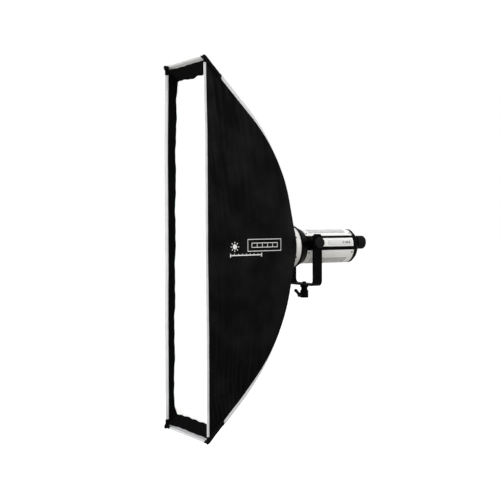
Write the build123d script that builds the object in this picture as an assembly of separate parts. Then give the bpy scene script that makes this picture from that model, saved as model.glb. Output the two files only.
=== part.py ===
"""Strip softbox on its studio light head, hung in a tilting yoke on a light-stand receiver.

Frame, millimetres: the origin is the centre of the receiver's mouth, where the stand's
16 mm spigot enters. +Z is up, the diffuser faces -Y and +X is to the right of someone
who stands behind the light. Depths are measured backwards (+Y) from the front rim.
"""
import os
from math import atan2, cos, degrees, hypot, pi, radians, sin, tan

from build123d import *

# ---- driving dimensions -------------------------------------------------------------
RIM_HALF_WIDTH = 150.0
RIM_HALF_HEIGHT = 600.0
REAR_HALF_WIDTH = 72.0
REAR_HALF_HEIGHT = 61.5
BOX_DEPTH = 368.0
FRONT_ANGLE = 44.5  # angle between the end walls and the optical axis, at the rim
REAR_ANGLE = 74.0  # the same angle next to the speedring
BEND_LONG = 0.40  # share of the front run that the bend takes up
BEND_SHORT = 0.64  # share of the rear run that the bend takes up
FABRIC = 2.0
DIFFUSER_DEPTH = 40.0
BAFFLE_DEPTH = 190.0
ROD_RADIUS = 3.0
ROD_INSET = 8.0

RING_RADIUS = 70.0
RING_FRONT = 370.0
RING_REAR = 398.0
RING_BORE = 55.0

BODY_RADIUS = 57.8
BODY_FRONT = 431.0
BODY_REAR = 620.5
CAP_REAR = 641.0
CAP_BEVEL = 10.0  # depth of the bevelled edge of the rear cap
RAIL_LOW = -11.0  # angles about the optical axis, from +X towards +Z
RAIL_HIGH = 39.2

PIVOT_DEPTH = 453.0
PIVOT_RISE = 15.0
ARM_INNER = 77.5
ARM_THICK = 7.0
ARM_WIDTH = 34.0
BAR_DROP = 124.0
SOCKET_RADIUS = 8.1
SOCKET_DEPTH = 30.0
RECEIVER_HEIGHT = 42.0

BOLT_RADIUS = 4.0
GAP = 0.1  # running clearance of shafts and close fits
BEYOND = 20.0  # how far a cutting shape runs past what it cuts
AXIS_Z = BAR_DROP + ARM_THICK + RECEIVER_HEIGHT + 1.0
FRONT_Y = -PIVOT_DEPTH

os.makedirs("parts", exist_ok=True)
nodes = {}


def keep(name, shape):
    """Gather the solids of a shape under one node name."""
    nodes[name] = Compound(children=list(shape.solids()))


# ---- helpers ------------------------------------------------------------------------
def along_axis(sketch, start, end, x=0.0, z=0.0):
    """Extrude a sketch (X across, Z up) between two depths, placed from the optical axis."""
    plane = Plane(origin=(x, FRONT_Y + end, AXIS_Z + z), x_dir=(1, 0, 0), z_dir=(0, -1, 0))
    return extrude(plane * sketch, end - start)


def disc(radius, start, end, x=0.0, z=0.0):
    return along_axis(Circle(radius), start, end, x, z)


def ring(outer, inner, start, end):
    return along_axis(Circle(outer) - Circle(inner), start, end)


def frustum(radius_start, radius_end, start, end):
    """A cone about the optical axis between two depths."""
    plane = Plane(origin=(0, FRONT_Y + start, AXIS_Z), x_dir=(1, 0, 0), z_dir=(0, 1, 0))
    length = end - start
    return plane * Cone(radius_start, radius_end, length, align=(Align.CENTER, Align.CENTER, Align.MIN))


def sector(outer, inner, angle_from, angle_to, start, end):
    """A piece of tube about the optical axis between two angles."""
    sweep_angle = angle_to - angle_from
    outer_arc = CenterArc((0, 0), outer, angle_from, sweep_angle)
    inner_arc = CenterArc((0, 0), inner, angle_from, sweep_angle)
    sides = [Line(outer_arc @ 0, inner_arc @ 0), Line(outer_arc @ 1, inner_arc @ 1)]
    return along_axis(make_face([outer_arc, inner_arc, *sides]), start, end)


def across(radius, x_from, x_to, depth, rise):
    """A cylinder parallel to X."""
    plane = Plane(origin=(x_from, FRONT_Y + depth, AXIS_Z + rise), z_dir=(1, 0, 0))
    return extrude(plane * Circle(radius), x_to - x_from)


def radial(radius, r_from, r_to, angle, depth):
    """A cylinder that stands on the optical axis at an angle, between two radii."""
    direction = (cos(radians(angle)), 0, sin(radians(angle)))
    base = (r_from * direction[0], FRONT_Y + depth, AXIS_Z + r_from * direction[2])
    return extrude(Plane(origin=base, z_dir=direction) * Circle(radius), r_to - r_from)


def block(x_from, x_to, start, end, z_from, z_to):
    """A box given by its X span, depth span and height span from the optical axis."""
    size = (x_to - x_from, end - start, z_to - z_from)
    middle = ((x_from + x_to) / 2, FRONT_Y + (start + end) / 2, AXIS_Z + (z_from + z_to) / 2)
    return Pos(*middle) * Box(*size)


def mirrored(shape):
    return mirror(shape, about=Plane.YZ)


def flipped(shape):
    """The same shape below the optical axis."""
    return mirror(shape, about=Plane(origin=(0, 0, AXIS_Z), z_dir=(0, 0, 1)))


# ---- the bowed walls of the fabric box ----------------------------------------------
FRONT_SLOPE = tan(radians(FRONT_ANGLE))
REAR_SLOPE = tan(radians(REAR_ANGLE))
BEND_DEPTH = (REAR_HALF_HEIGHT + REAR_SLOPE * BOX_DEPTH - RIM_HALF_HEIGHT) / (REAR_SLOPE - FRONT_SLOPE)
WIDTH_SHARE = (RIM_HALF_WIDTH - REAR_HALF_WIDTH) / (RIM_HALF_HEIGHT - REAR_HALF_HEIGHT)


def wall_runs(inset, sideways):
    """Front point, bend corner and rear point (depth, half size) of a wall moved inwards."""
    share = WIDTH_SHARE if sideways else 1.0
    front_half = RIM_HALF_WIDTH if sideways else RIM_HALF_HEIGHT
    rear_half = REAR_HALF_WIDTH if sideways else REAR_HALF_HEIGHT
    front_slope = share * FRONT_SLOPE
    rear_slope = share * REAR_SLOPE
    front_half -= inset * hypot(1, front_slope)
    rear_half -= inset * hypot(1, rear_slope)
    bend = (rear_half + rear_slope * BOX_DEPTH - front_half) / (rear_slope - front_slope)
    return (0.0, front_half), (bend, front_half - front_slope * bend), (BOX_DEPTH, rear_half)


def between(a, b, share):
    return tuple(p + (q - p) * share for p, q in zip(a, b))


def wall_region(inset, sideways, spare=10.0):
    """Everything between a wall and its mirror image, run past both ends of the box."""
    front, bend, rear = wall_runs(inset, sideways)
    bend_start = between(bend, front, BEND_LONG)
    bend_end = between(bend, rear, BEND_SHORT)
    before = between(front, bend, -spare / bend[0])
    after = between(bend, rear, 1 + spare / (rear[0] - bend[0]))
    upper = [Line(before, bend_start), Bezier(bend_start, bend, bend_end), Line(bend_end, after)]
    corners = [(before[0], before[1]), (before[0], -before[1]), (after[0], -after[1]), (after[0], after[1])]
    lower = [mirror(edge, about=Plane.XZ) for edge in upper]
    ends = [Line(corners[0], corners[1]), Line(corners[2], corners[3])]
    face = make_face([*upper, *lower, *ends])
    if sideways:
        plane = Plane(origin=(0, FRONT_Y, AXIS_Z - 700), x_dir=(0, 1, 0), z_dir=(0, 0, 1))
        return extrude(plane * face, 1400)
    plane = Plane(origin=(-200, FRONT_Y, AXIS_Z), x_dir=(0, 1, 0), z_dir=(1, 0, 0))
    return extrude(plane * face, 400)


def slab(start, end):
    return block(-300, 300, start, end, -700, 700)


def side_layer(outer, inner, start, end):
    """Left and right wall layers between two insets: the long walls own the corners."""
    layer = wall_region(outer, True) - wall_region(inner, True)
    both = layer & wall_region(outer, False) & slab(start, end)
    return both.solids().sort_by(Axis.X)


def end_layer(outer, inner, start, end):
    """Bottom and top wall layers between two insets, fitted between the long walls."""
    layer = wall_region(outer, False) - wall_region(inner, False)
    both = layer & wall_region(inner, True) & slab(start, end)
    return both.solids().sort_by(Axis.Z)


def inner_space(inset, start, end):
    return wall_region(inset, True) & wall_region(inset, False) & slab(start, end)


def corner_path(inset, start, end):
    """Polyline of a corner seam at an inset: (x, y, z) of its front end, bend and rear end."""
    wide = wall_runs(inset, True)
    tall = wall_runs(inset, False)
    front = between(tall[0], tall[1], start / tall[1][0])
    rear = between(tall[2], tall[1], (BOX_DEPTH - end) / (BOX_DEPTH - tall[1][0]))
    front_x = between(wide[0], wide[1], start / wide[1][0])[1]
    rear_x = between(wide[2], wide[1], (BOX_DEPTH - end) / (BOX_DEPTH - wide[1][0]))[1]
    halves = [(front_x, *front), (wide[1][1], *tall[1]), (rear_x, *rear)]
    return [Vector(x, FRONT_Y + depth, AXIS_Z + half) for x, depth, half in halves]


QUARTERS = {
    "upper_right": lambda shape: shape,
    "upper_left": mirrored,
    "lower_right": flipped,
    "lower_left": lambda shape: flipped(mirrored(shape)),
}


# ---- softbox: sewn parts ------------------------------------------------------------
COLLAR_HOLE = 60.5
POCKET_RADIUS = 10.0
POCKET_INSET = 3.0
POCKET_SETBACK = 4.0  # from the rim back to the centre of the sleeve's rounded nose
POCKET_LENGTH = 78.0
PIPING_START = 65.0
PIPING_END = 262.0


def pocket_cover():
    """The rounded sleeve over the rod tip, before the canopy is cut away from it."""
    front, bend, _ = corner_path(POCKET_INSET, 0.0, BOX_DEPTH)
    direction = (bend - front).normalized()
    tip = front + direction * POCKET_SETBACK
    sleeve = extrude(Plane(origin=tip, z_dir=direction) * Circle(POCKET_RADIUS), POCKET_LENGTH)
    return sleeve + Pos(*tip) * Sphere(POCKET_RADIUS)


def make_canopy():
    hole = disc(COLLAR_HOLE, BEND_DEPTH, BOX_DEPTH + BEYOND)
    left, right = side_layer(0, FABRIC, 0, BOX_DEPTH)
    bottom, top = end_layer(0, FABRIC, 0, BOX_DEPTH)
    keep("side_panel_left", left - hole)
    keep("side_panel_right", right - hole)
    keep("bottom_panel", bottom - hole)
    keep("top_panel", top - hole)


def make_front_edge():
    """Folded binding over the rim, and the pile tape sewn inside it for grids."""
    binding_front = -1.2
    binding_back = 10.0
    binding_skin = 0.9
    lip_back = DIFFUSER_DEPTH - 1.5
    lip_thickness = 1.5
    cloth = inner_space(-GAP, -GAP, 2 * binding_back)
    cloth = cloth - inner_space(FABRIC + GAP, -binding_back, 3 * binding_back)
    pockets = [place(pocket_cover()) for place in QUARTERS.values()]
    outer_inset = -binding_skin
    inner_inset = FABRIC + binding_skin
    left, right = side_layer(outer_inset, inner_inset, binding_front, binding_back)
    bottom, top = end_layer(outer_inset, inner_inset, binding_front, binding_back)
    for name, strip in (("left", left), ("right", right), ("bottom", bottom), ("top", top)):
        strip = strip - cloth
        for pocket in pockets:
            strip = strip - pocket
        keep(f"rim_binding_{name}", strip.solids().sort_by(SortBy.VOLUME)[-1])
    lip_outer = FABRIC + GAP
    lip_inner = lip_outer + lip_thickness
    lip_front = binding_back + 0.3
    left, right = side_layer(lip_outer, lip_inner, lip_front, lip_back)
    bottom, top = end_layer(lip_outer, lip_inner, lip_front, lip_back)
    for name, strip in (("left", left), ("right", right), ("bottom", bottom), ("top", top)):
        keep(f"velcro_lip_{name}", strip)


def make_corner_pockets():
    canopy = inner_space(-GAP, -GAP, BEND_DEPTH)
    for quarter, place in QUARTERS.items():
        keep(f"corner_pocket_{quarter}", place(pocket_cover() - canopy))


def make_edge_piping():
    """Thin flange sewn into each corner seam, from the rod pocket into the bend."""
    height = 7.0
    thickness = 2.4
    stand_off = 0.8
    front, bend, rear = corner_path(-stand_off, 0.0, BOX_DEPTH)
    first = (bend - front).normalized()
    second = (rear - bend).normalized()
    normal = first.cross(second).normalized()
    first_out = first.cross(normal)
    second_out = second.cross(normal)
    bend_out = (first_out + second_out) / (1 + first.dot(second))
    inner = FilletPolyline(front, bend, rear, radius=BEND_RADIUS)
    outer_points = [front + first_out * height, bend + bend_out * height, rear + second_out * height]
    outer = FilletPolyline(*outer_points, radius=BEND_RADIUS + height)
    ends = [Line(inner @ 0, outer @ 0), Line(inner @ 1, outer @ 1)]
    face = make_face([*inner.edges(), *outer.edges(), *ends])
    strip = extrude(face, thickness / 2, dir=normal, both=True)
    strip = strip & slab(PIPING_START, PIPING_END)
    keep("edge_piping", Compound([place(strip) for place in QUARTERS.values()]))


NOTCH_X = 131.0
NOTCH_RISE = 542.0


def make_diffusers():
    """Front diffuser, with its corners cut out for the rods, and the inner baffle on its tabs."""
    sheet = 1.2
    diffuser = inner_space(FABRIC + 0.4, DIFFUSER_DEPTH, DIFFUSER_DEPTH + sheet)
    notch = block(NOTCH_X, 200, 0, 80, NOTCH_RISE, 700)
    for place in QUARTERS.values():
        diffuser = diffuser - place(notch)
    keep("front_diffuser", diffuser)
    half_width = 92.0
    half_height = 330.0
    corner_radius = 20.0
    tab_half = 8.0
    tab_from_edge = 22.0
    outline = RectangleRounded(2 * half_width, 2 * half_height, corner_radius)
    baffle = along_axis(outline, BAFFLE_DEPTH, BAFFLE_DEPTH + sheet)
    tab_reach = wall_runs(FABRIC + 1.0, False)[0][1] - FRONT_SLOPE * (BAFFLE_DEPTH + sheet)
    tabs = []
    for side in (-1, 1):
        for level in (-1, 1):
            low = level * (half_height + 0.2)
            high = level * tab_reach
            x = side * (half_width - tab_from_edge)
            spans = (min(low, high), max(low, high))
            tabs.append(block(x - tab_half, x + tab_half, BAFFLE_DEPTH, BAFFLE_DEPTH + sheet, *spans))
    keep("inner_baffle", Compound([baffle, *tabs]))


def make_rear_collar():
    """Flat cuff between the fabric's rear opening and the speedring."""
    half_width = 76.0
    half_height = 67.0
    corner_radius = 40.0
    hole_radius = RING_NOSE_RADIUS + 0.4
    outline = RectangleRounded(2 * half_width, 2 * half_height, corner_radius) - Circle(hole_radius)
    keep("rear_collar", along_axis(outline, BOX_DEPTH + 2 * GAP, RING_FRONT - 2 * GAP))


# ---- softbox: rods and speedring ----------------------------------------------------
ROD_START = 8.0
ROD_END = 354.0
BEND_RADIUS = 627.0
RING_NOSE = 346.0
RING_NOSE_RADIUS = 58.0
SOCKET_LENGTH = 15.0
SCREW_ANGLES = (28, 152, 208, 332)
SCREW_DEPTH = 381.0
SCREW_RADIUS = 3.0
LOCK_DEPTH = 384.0


def rod_path():
    front, bend, rear = corner_path(ROD_INSET, ROD_START, ROD_END)
    return FilletPolyline(front, bend, rear, radius=BEND_RADIUS)


def make_rods():
    path = rod_path()
    rod = sweep(Plane(origin=path @ 0, z_dir=path % 0) * Circle(ROD_RADIUS), path=path)
    tip_plane = Plane(origin=path @ 0, z_dir=(path % 0) * -1)
    tip = tip_plane * Pos(0, 0, 0.05) * Cone(4.2, 2.6, 5, align=(Align.CENTER, Align.CENTER, Align.MIN))
    for quarter, place in QUARTERS.items():
        keep(f"rod_{quarter}", place(rod))
    keep("rod_tips", Compound([place(tip) for place in QUARTERS.values()]))


def make_speedring():
    """Ring that carries the rods, with a socket lug on each diagonal."""
    groove_front = RING_FRONT + 8
    groove_rear = RING_FRONT + 10
    arm_thickness = 10
    body = ring(RING_RADIUS, RING_BORE, RING_FRONT, RING_REAR)
    body = body - ring(RING_RADIUS + 1, RING_RADIUS - 2, groove_front, groove_rear)
    body = body + ring(RING_NOSE_RADIUS, RING_BORE, RING_NOSE, RING_FRONT)
    path = rod_path()
    rod_rear = path @ 1
    along = path % 1
    socket = Plane(origin=rod_rear - along * SOCKET_LENGTH, z_dir=along)
    barrel = extrude(socket * Circle(ROD_RADIUS + 2.3), SOCKET_LENGTH + 7)
    bore = extrude(socket * Circle(ROD_RADIUS + GAP), SOCKET_LENGTH + 2 * GAP)
    lug_angle = degrees(atan2(rod_rear.Z - AXIS_Z, rod_rear.X))
    arm = block(RING_BORE - 1, 104, RING_NOSE, RING_NOSE + arm_thickness, -6, 6)
    arm = arm.rotate(Axis((0, 0, AXIS_Z), (0, 1, 0)), -lug_angle)
    for place in QUARTERS.values():
        body = body + place(arm) + place(barrel)
    for place in QUARTERS.values():
        body = body - place(bore)
    body = body - disc(RING_BORE, RING_NOSE - BEYOND, RING_REAR + BEYOND)
    body = body - radial(SCREW_RADIUS + GAP, RING_BORE - 5, RING_RADIUS + 10, 180, LOCK_DEPTH)
    for angle in SCREW_ANGLES:
        body = body - radial(SCREW_RADIUS + GAP, RING_RADIUS - 6.1, RING_RADIUS + 10, angle, SCREW_DEPTH)
    keep("speedring", body)


def make_ring_screws():
    key_radius = 1.3
    screws = []
    for angle in SCREW_ANGLES:
        head = radial(SCREW_RADIUS, RING_RADIUS - 6, RING_RADIUS + 0.8, angle, SCREW_DEPTH)
        screws.append(head - radial(key_radius, RING_RADIUS - 1, RING_RADIUS + 10, angle, SCREW_DEPTH))
    keep("speedring_screws", Compound(screws))


def make_rotation_lock():
    """Thumbscrew that stops the adapter from turning in the speedring."""
    flute_count = 10
    flute_circle = 8.6
    grip_start = RING_RADIUS + 1.5
    stem = radial(SCREW_RADIUS, RING_BORE + 0.4, RING_RADIUS + 3, 180, LOCK_DEPTH)
    grip = radial(8.0, grip_start, RING_RADIUS + 13, 180, LOCK_DEPTH)
    for k in range(flute_count):
        angle = 2 * pi * k / flute_count
        depth = LOCK_DEPTH + flute_circle * cos(angle)
        rise = flute_circle * sin(angle)
        grip = grip - across(1.5, -grip_start - BEYOND, -grip_start + 1, depth, rise)
    keep("rotation_lock_knob", stem + grip)


ADAPTER_REAR = 407.0
TONGUE_COUNT = 3
TONGUE_RADIUS = 58.3


def make_adapter():
    """Bayonet adapter that turns inside the speedring and locks into the light's collar."""
    wall_inner = 49.0
    snap_front = 341.5
    snap_rear = 344.5
    tube = ring(RING_BORE - GAP, wall_inner, 334, ADAPTER_REAR)
    for k in range(TONGUE_COUNT):
        middle = 90 + 360 / TONGUE_COUNT * k
        span = (middle - 14, middle + 14)
        tube = tube + sector(TONGUE_RADIUS, RING_BORE - 1, *span, ADAPTER_REAR - 2.6, ADAPTER_REAR)
    groove = ring(RING_BORE + 1, RING_BORE - 1.5, snap_front - GAP, snap_rear + GAP)
    keep("adapter_ring", tube - groove)
    snap = ring(59.0, RING_BORE - 1.4, snap_front, snap_rear)
    keep("retaining_ring", snap - block(-4, 4, snap_front - 1, snap_rear + 1, 40, 70))


# ---- light head ---------------------------------------------------------------------
COLLAR_REAR = 404.0
LATCH_X = -62.0
PIN_RADIUS = 1.5
NECK_FLOOR = 2.0


def make_mount_collar():
    """Bayonet collar of the light, with a gap for each tongue of the adapter."""
    collar = ring(72.0, RING_BORE + 2 * GAP, RING_REAR + 0.5, COLLAR_REAR)
    front = RING_REAR - BEYOND
    rear = COLLAR_REAR + BEYOND
    for k in range(TONGUE_COUNT):
        middle = 30 + 360 / TONGUE_COUNT * k
        collar = collar - sector(TONGUE_RADIUS + 0.3, 50, middle - 15, middle + 15, front, rear)
    keep("mount_collar", collar - disc(PIN_RADIUS + GAP, front, rear, x=LATCH_X))


def make_neck():
    """Hollow cone from the collar down to the body, slotted for the latch."""
    outer = frustum(71, BODY_RADIUS, COLLAR_REAR + GAP, BODY_FRONT)
    inner = frustum(66, 53, COLLAR_REAR, BODY_FRONT - NECK_FLOOR)
    cable_hole = disc(20, BODY_FRONT - 10, BODY_FRONT + 5)
    slot = block(-80, -48, COLLAR_REAR + 4, COLLAR_REAR + 24, -5.3, 5.3)
    keep("neck_cone", outer - inner - cable_hole - slot)


def make_latch():
    thumb = block(-76, -60, 410, 422, -5, 5)
    pin = disc(PIN_RADIUS, RING_REAR + 1, 411, x=LATCH_X)
    thumb = fillet(thumb.edges().filter_by(Axis.Y).group_by(Axis.X)[0], 1.5)
    keep("mount_latch", thumb + pin)


def make_shells():
    """Two casings of sheet metal, one above and one below the side rails."""
    skin = 2.2
    split = 0.3  # degrees left open beside each rail
    spans = {
        "upper_shell": (RAIL_HIGH + split, 180 - RAIL_HIGH - split),
        "lower_shell": (180 - RAIL_LOW + split, 360 + RAIL_LOW - split),
    }
    for name, (first, last) in spans.items():
        keep(name, sector(BODY_RADIUS, BODY_RADIUS - skin, first, last, BODY_FRONT + 0.2, BODY_REAR))


SHELL_SCREW_DEPTHS = (BODY_FRONT + 6, BODY_REAR - 8)
SHELL_SCREW_ANGLES = (50, 130, 200, 340)


def make_shell_screws():
    screws = []
    for depth in SHELL_SCREW_DEPTHS:
        for angle in SHELL_SCREW_ANGLES:
            head = radial(2.4, BODY_RADIUS + 0.1, BODY_RADIUS + 1.2, angle, depth)
            screws.append(head - radial(0.9, BODY_RADIUS + 0.6, BODY_RADIUS + 3, angle, depth))
    keep("shell_screws", Compound(screws))


def make_rails():
    """Side rails with the pivot bosses, and the thin cover strip let into each rail."""
    strip_front = PIVOT_DEPTH + 26
    inside = 54.6
    recess_floor = 56.9
    rail = sector(BODY_RADIUS + 0.5, inside, RAIL_LOW, RAIL_HIGH, BODY_FRONT + 0.2, BODY_REAR)
    rail = rail + across(16, 50, ARM_INNER - 2.2, PIVOT_DEPTH, PIVOT_RISE)
    rail = rail - disc(inside, BODY_FRONT - BEYOND, BODY_REAR + BEYOND)
    recess = sector(BODY_RADIUS + 3, recess_floor, 0.5, 30, strip_front, BODY_REAR - 3)
    rail = rail - recess - across(BOLT_RADIUS + GAP, 40, 90, PIVOT_DEPTH, PIVOT_RISE)
    strip = sector(BODY_RADIUS + 0.3, recess_floor + GAP, 0.8, 29.7, strip_front + 0.4, BODY_REAR - 3.4)
    keep("side_rail_right", rail)
    keep("side_rail_left", mirrored(rail))
    keep("side_strip_right", strip)
    keep("side_strip_left", mirrored(strip))


def make_light_engine():
    """LED array on its carrier, the clear cover in front of it and the heat sink behind."""
    carrier_rear = BODY_FRONT - NECK_FLOOR - 2 * GAP
    carrier_front = carrier_rear - 7.8
    carrier = disc(46, carrier_front, carrier_rear)
    emitter = disc(15, carrier_front - 2.4, carrier_front - 1)
    keep("led_array", carrier + block(-19, 19, carrier_front - 1.6, carrier_front, -19, 19) + emitter)
    dome = disc(34, carrier_front - 15, carrier_front - 2 * GAP)
    dome = dome - disc(31, carrier_front - 12.5, carrier_front)
    dome = fillet(dome.edges().filter_by(GeomType.CIRCLE).group_by(Axis.Y)[0], 2.0)
    keep("led_cover_glass", dome)
    fin_count = 28
    fin_reach = 51.0
    fin_front = 442.0
    fin_rear = 556.0
    sink = disc(18, BODY_FRONT + 0.3, fin_rear) + disc(fin_reach, BODY_FRONT + 0.3, fin_front)
    for k in range(fin_count):
        fin = block(15, fin_reach, fin_front, fin_rear, -0.8, 0.8)
        sink = sink + fin.rotate(Axis((0, 0, AXIS_Z), (0, 1, 0)), 360 * k / fin_count)
    keep("heat_sink", sink)


def make_fan():
    """Cooling fan behind the fins: a frame with four spokes and a seven-bladed rotor."""
    fan_front = 562
    fan_rear = 587
    plate_front = fan_rear - 4
    spoke_reach = 50
    shaft_radius = 3.0
    blade_count = 7
    blade_front = fan_front + 10
    blade_thickness = 1.6
    blade_pitch = 30
    frame = ring(52, 46, fan_front, fan_rear)
    spokes = block(-spoke_reach, spoke_reach, plate_front, fan_rear, -2, 2)
    spokes = spokes + block(-2, 2, plate_front, fan_rear, -spoke_reach, spoke_reach)
    spokes = spokes & disc(spoke_reach, fan_front, fan_rear)
    hub_plate = disc(15, plate_front, fan_rear)
    shaft = disc(shaft_radius, fan_front + 6, fan_rear - 3)
    keep("fan_frame", frame + spokes + hub_plate + shaft)
    rotor = disc(16, fan_front + 2, plate_front - 1)
    pitch_axis = Axis((0, FRONT_Y + blade_front + blade_thickness / 2, AXIS_Z), (1, 0, 0))
    for k in range(blade_count):
        blade = block(12, 44.5, blade_front, blade_front + blade_thickness, -9, 9)
        blade = blade.rotate(pitch_axis, blade_pitch)
        rotor = rotor + blade.rotate(Axis((0, 0, AXIS_Z), (0, 1, 0)), 360 * k / blade_count)
    keep("fan_rotor", rotor - disc(shaft_radius + GAP, fan_front + 5.5, fan_rear))


def make_driver_board():
    """Driver circuit board with a transformer, a coil and a capacitor on its front."""
    board_front = 600.0
    board = block(-38, 38, board_front, board_front + 1.6, -30, 34)
    transformer = block(-30, -12, board_front - 8, board_front, -20, 0)
    coil = block(0, 22, board_front - 6, board_front, 6, 26)
    capacitor = disc(7, board_front - 9.5, board_front, x=22, z=-16)
    keep("driver_board", board + transformer + coil + capacitor)


DIAL_X = 24.0
DIAL_RISE = 12.0
DIAL_RADIUS = 22.8
SWITCH_X = -22.0
SWITCH_DROP = -26.0
SWITCH_THROW = 16.0  # degrees between off, the rest position, and on
INLET_X = 14.0
INLET_DROP = -27.0
BUTTON_X = -28.0
BUTTON_DROP = -6.0
BUTTON_RADIUS = 4.0
DISPLAY_X = -20.0
DISPLAY_RISE = 20.0


def at_dial(sketch, start, end):
    return along_axis(sketch, start, end, x=DIAL_X, z=DIAL_RISE)


def at_button(sketch, start, end):
    return along_axis(sketch, start, end, x=BUTTON_X, z=BUTTON_DROP)


def at_switch(sketch, start, end):
    return along_axis(sketch, start, end, x=SWITCH_X, z=SWITCH_DROP)


def at_inlet(sketch, start, end):
    return along_axis(sketch, start, end, x=INLET_X, z=INLET_DROP)


def at_display(sketch, start, end):
    return along_axis(sketch, start, end, x=DISPLAY_X, z=DISPLAY_RISE)


def make_rear_cap():
    """Bevelled rear cap with its openings, and the display window set into it."""
    wall = 4.0
    bevel_start = CAP_REAR - CAP_BEVEL
    front = BODY_REAR - BEYOND
    rear = CAP_REAR + BEYOND
    cap = disc(BODY_RADIUS, BODY_REAR + 0.2, bevel_start)
    cap = cap + frustum(BODY_RADIUS, 49.5, bevel_start, CAP_REAR)
    cap = cap - disc(BODY_RADIUS - wall, front, bevel_start)
    cap = cap - frustum(BODY_RADIUS - wall, 45, bevel_start - GAP, CAP_REAR - wall)
    cap = cap + ring(54.4, 51.5, BODY_REAR - 10, bevel_start)
    cap = cap - at_dial(Circle(SCREW_RADIUS + GAP), front, rear)
    cap = cap - at_button(Circle(BUTTON_RADIUS + 0.3), front, rear)
    cap = cap - at_switch(Rectangle(14, 10), front, rear)
    cap = cap - at_inlet(Rectangle(24, 16), front, rear)
    cap = cap - at_display(RectangleRounded(34.4, 22.4, 3), CAP_REAR - 1.6, rear)
    keep("rear_cap", cap)
    keep("display", at_display(RectangleRounded(34, 22, 2.8), CAP_REAR - 1.5, CAP_REAR + 0.2))


def make_control_dial():
    """Large fluted dial on a thin shaft."""
    flute_count = 24
    flute_radius = 1.4
    grip_front = CAP_REAR + 7
    grip_rear = CAP_REAR + 40.5
    shaft = at_dial(Circle(SCREW_RADIUS), CAP_REAR - 12, grip_front)
    neck = at_dial(Circle(16), CAP_REAR + 0.6, grip_front + 1)
    grip = at_dial(Circle(DIAL_RADIUS), grip_front, grip_rear)
    grip = fillet(grip.edges().filter_by(GeomType.CIRCLE).group_by(Axis.Y)[-1], 7.5)
    flute_circle = DIAL_RADIUS + flute_radius / 2
    for k in range(flute_count):
        angle = 2 * pi * k / flute_count
        x = DIAL_X + flute_circle * cos(angle)
        rise = DIAL_RISE + flute_circle * sin(angle)
        grip = grip - disc(flute_radius, grip_front + 5, grip_rear - 9, x=x, z=rise)
    keep("control_dial", shaft + neck + grip)


def make_button_and_switch():
    rocker_radius = 4.6
    rocker_depth = CAP_REAR - 2
    keep("menu_button", at_button(Circle(BUTTON_RADIUS), CAP_REAR - 7, CAP_REAR + 2))
    rocker = across(rocker_radius, SWITCH_X - 6.6, SWITCH_X + 6.6, rocker_depth, SWITCH_DROP)
    dish = across(6, SWITCH_X - 8, SWITCH_X + 8, rocker_depth + 9.2, SWITCH_DROP)
    rocker_axis = Axis((0, FRONT_Y + rocker_depth, AXIS_Z + SWITCH_DROP), (1, 0, 0))
    keep("power_switch", (rocker - dish).rotate(rocker_axis, -SWITCH_THROW / 2))


def make_power_inlet():
    """Mains inlet: a shell behind a flange, with three flat pins."""
    shell = at_inlet(Rectangle(23.6, 15.6), CAP_REAR - 16, CAP_REAR + 1)
    flange = at_inlet(RectangleRounded(29, 20.5, 2.5), CAP_REAR + GAP, CAP_REAR + 1.6)
    inlet = shell + flange - at_inlet(Rectangle(20, 12), CAP_REAR - 13, CAP_REAR + BEYOND)
    for offset, drop in ((-5.5, -1.5), (0, 2), (5.5, -1.5)):
        x = INLET_X + offset
        rise = INLET_DROP + drop
        inlet = inlet + block(x - 0.9, x + 0.9, CAP_REAR - 14, CAP_REAR - 3, rise - 2, rise + 2)
    keep("power_inlet", inlet)


# ---- yoke and stand receiver --------------------------------------------------------
def make_yoke():
    """Bracket bent from one flat bar, with bevelled arm tips."""
    outer_bend = 20.0
    tip_bevel = 7.0
    top = PIVOT_RISE + 29
    outer = ARM_INNER + ARM_THICK
    low = -BAR_DROP - ARM_THICK
    u_shape = Rectangle(2 * outer, top - low)
    u_shape = fillet(u_shape.vertices().group_by(Axis.Y)[0], outer_bend)
    inside_low = -BAR_DROP
    inside = Rectangle(2 * ARM_INNER, top - inside_low + BEYOND)
    inside = fillet(inside.vertices().group_by(Axis.Y)[0], outer_bend - ARM_THICK)
    section = Pos(0, (top + low) / 2) * u_shape - Pos(0, (top + inside_low + BEYOND) / 2) * inside
    half = ARM_WIDTH / 2
    yoke = along_axis(section, PIVOT_DEPTH - half, PIVOT_DEPTH + half)
    clip = Pos(0, 0, AXIS_Z + (top + low) / 2) * Rot(0, 90, 0) * Box(top - low, ARM_WIDTH, 400)
    clip = chamfer(clip.edges().filter_by(Axis.X).group_by(Axis.Z)[-1], tip_bevel)
    yoke = (yoke & clip) - across(BOLT_RADIUS + GAP, -200, 200, PIVOT_DEPTH, PIVOT_RISE)
    yoke = yoke - Pos(0, 0, RECEIVER_HEIGHT) * Cylinder(BOLT_RADIUS + GAP, 2 * BEYOND)
    keep("yoke", yoke)


def at_pivot(radius, x_from, x_to):
    return across(radius, x_from, x_to, PIVOT_DEPTH, PIVOT_RISE)


def make_tilt_knob():
    """Lobed knob on the bolt that clamps the yoke's right arm."""
    lobes = 8
    flute_circle = 21.2
    outer = ARM_INNER + ARM_THICK
    stem = at_pivot(BOLT_RADIUS, 60, outer + 2)
    shoulder = at_pivot(11, outer + 0.4, outer + 3)
    grip = at_pivot(18.2, outer + 2.5, outer + 16.5)
    grip = fillet(grip.edges().filter_by(GeomType.CIRCLE).group_by(Axis.X)[-1], 3.5)
    for k in range(lobes):
        angle = 2 * pi * k / lobes
        depth = PIVOT_DEPTH + flute_circle * cos(angle)
        rise = PIVOT_RISE + flute_circle * sin(angle)
        grip = grip - across(4.6, outer, outer + 30, depth, rise)
    keep("tilt_knob", stem + shoulder + grip)


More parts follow.
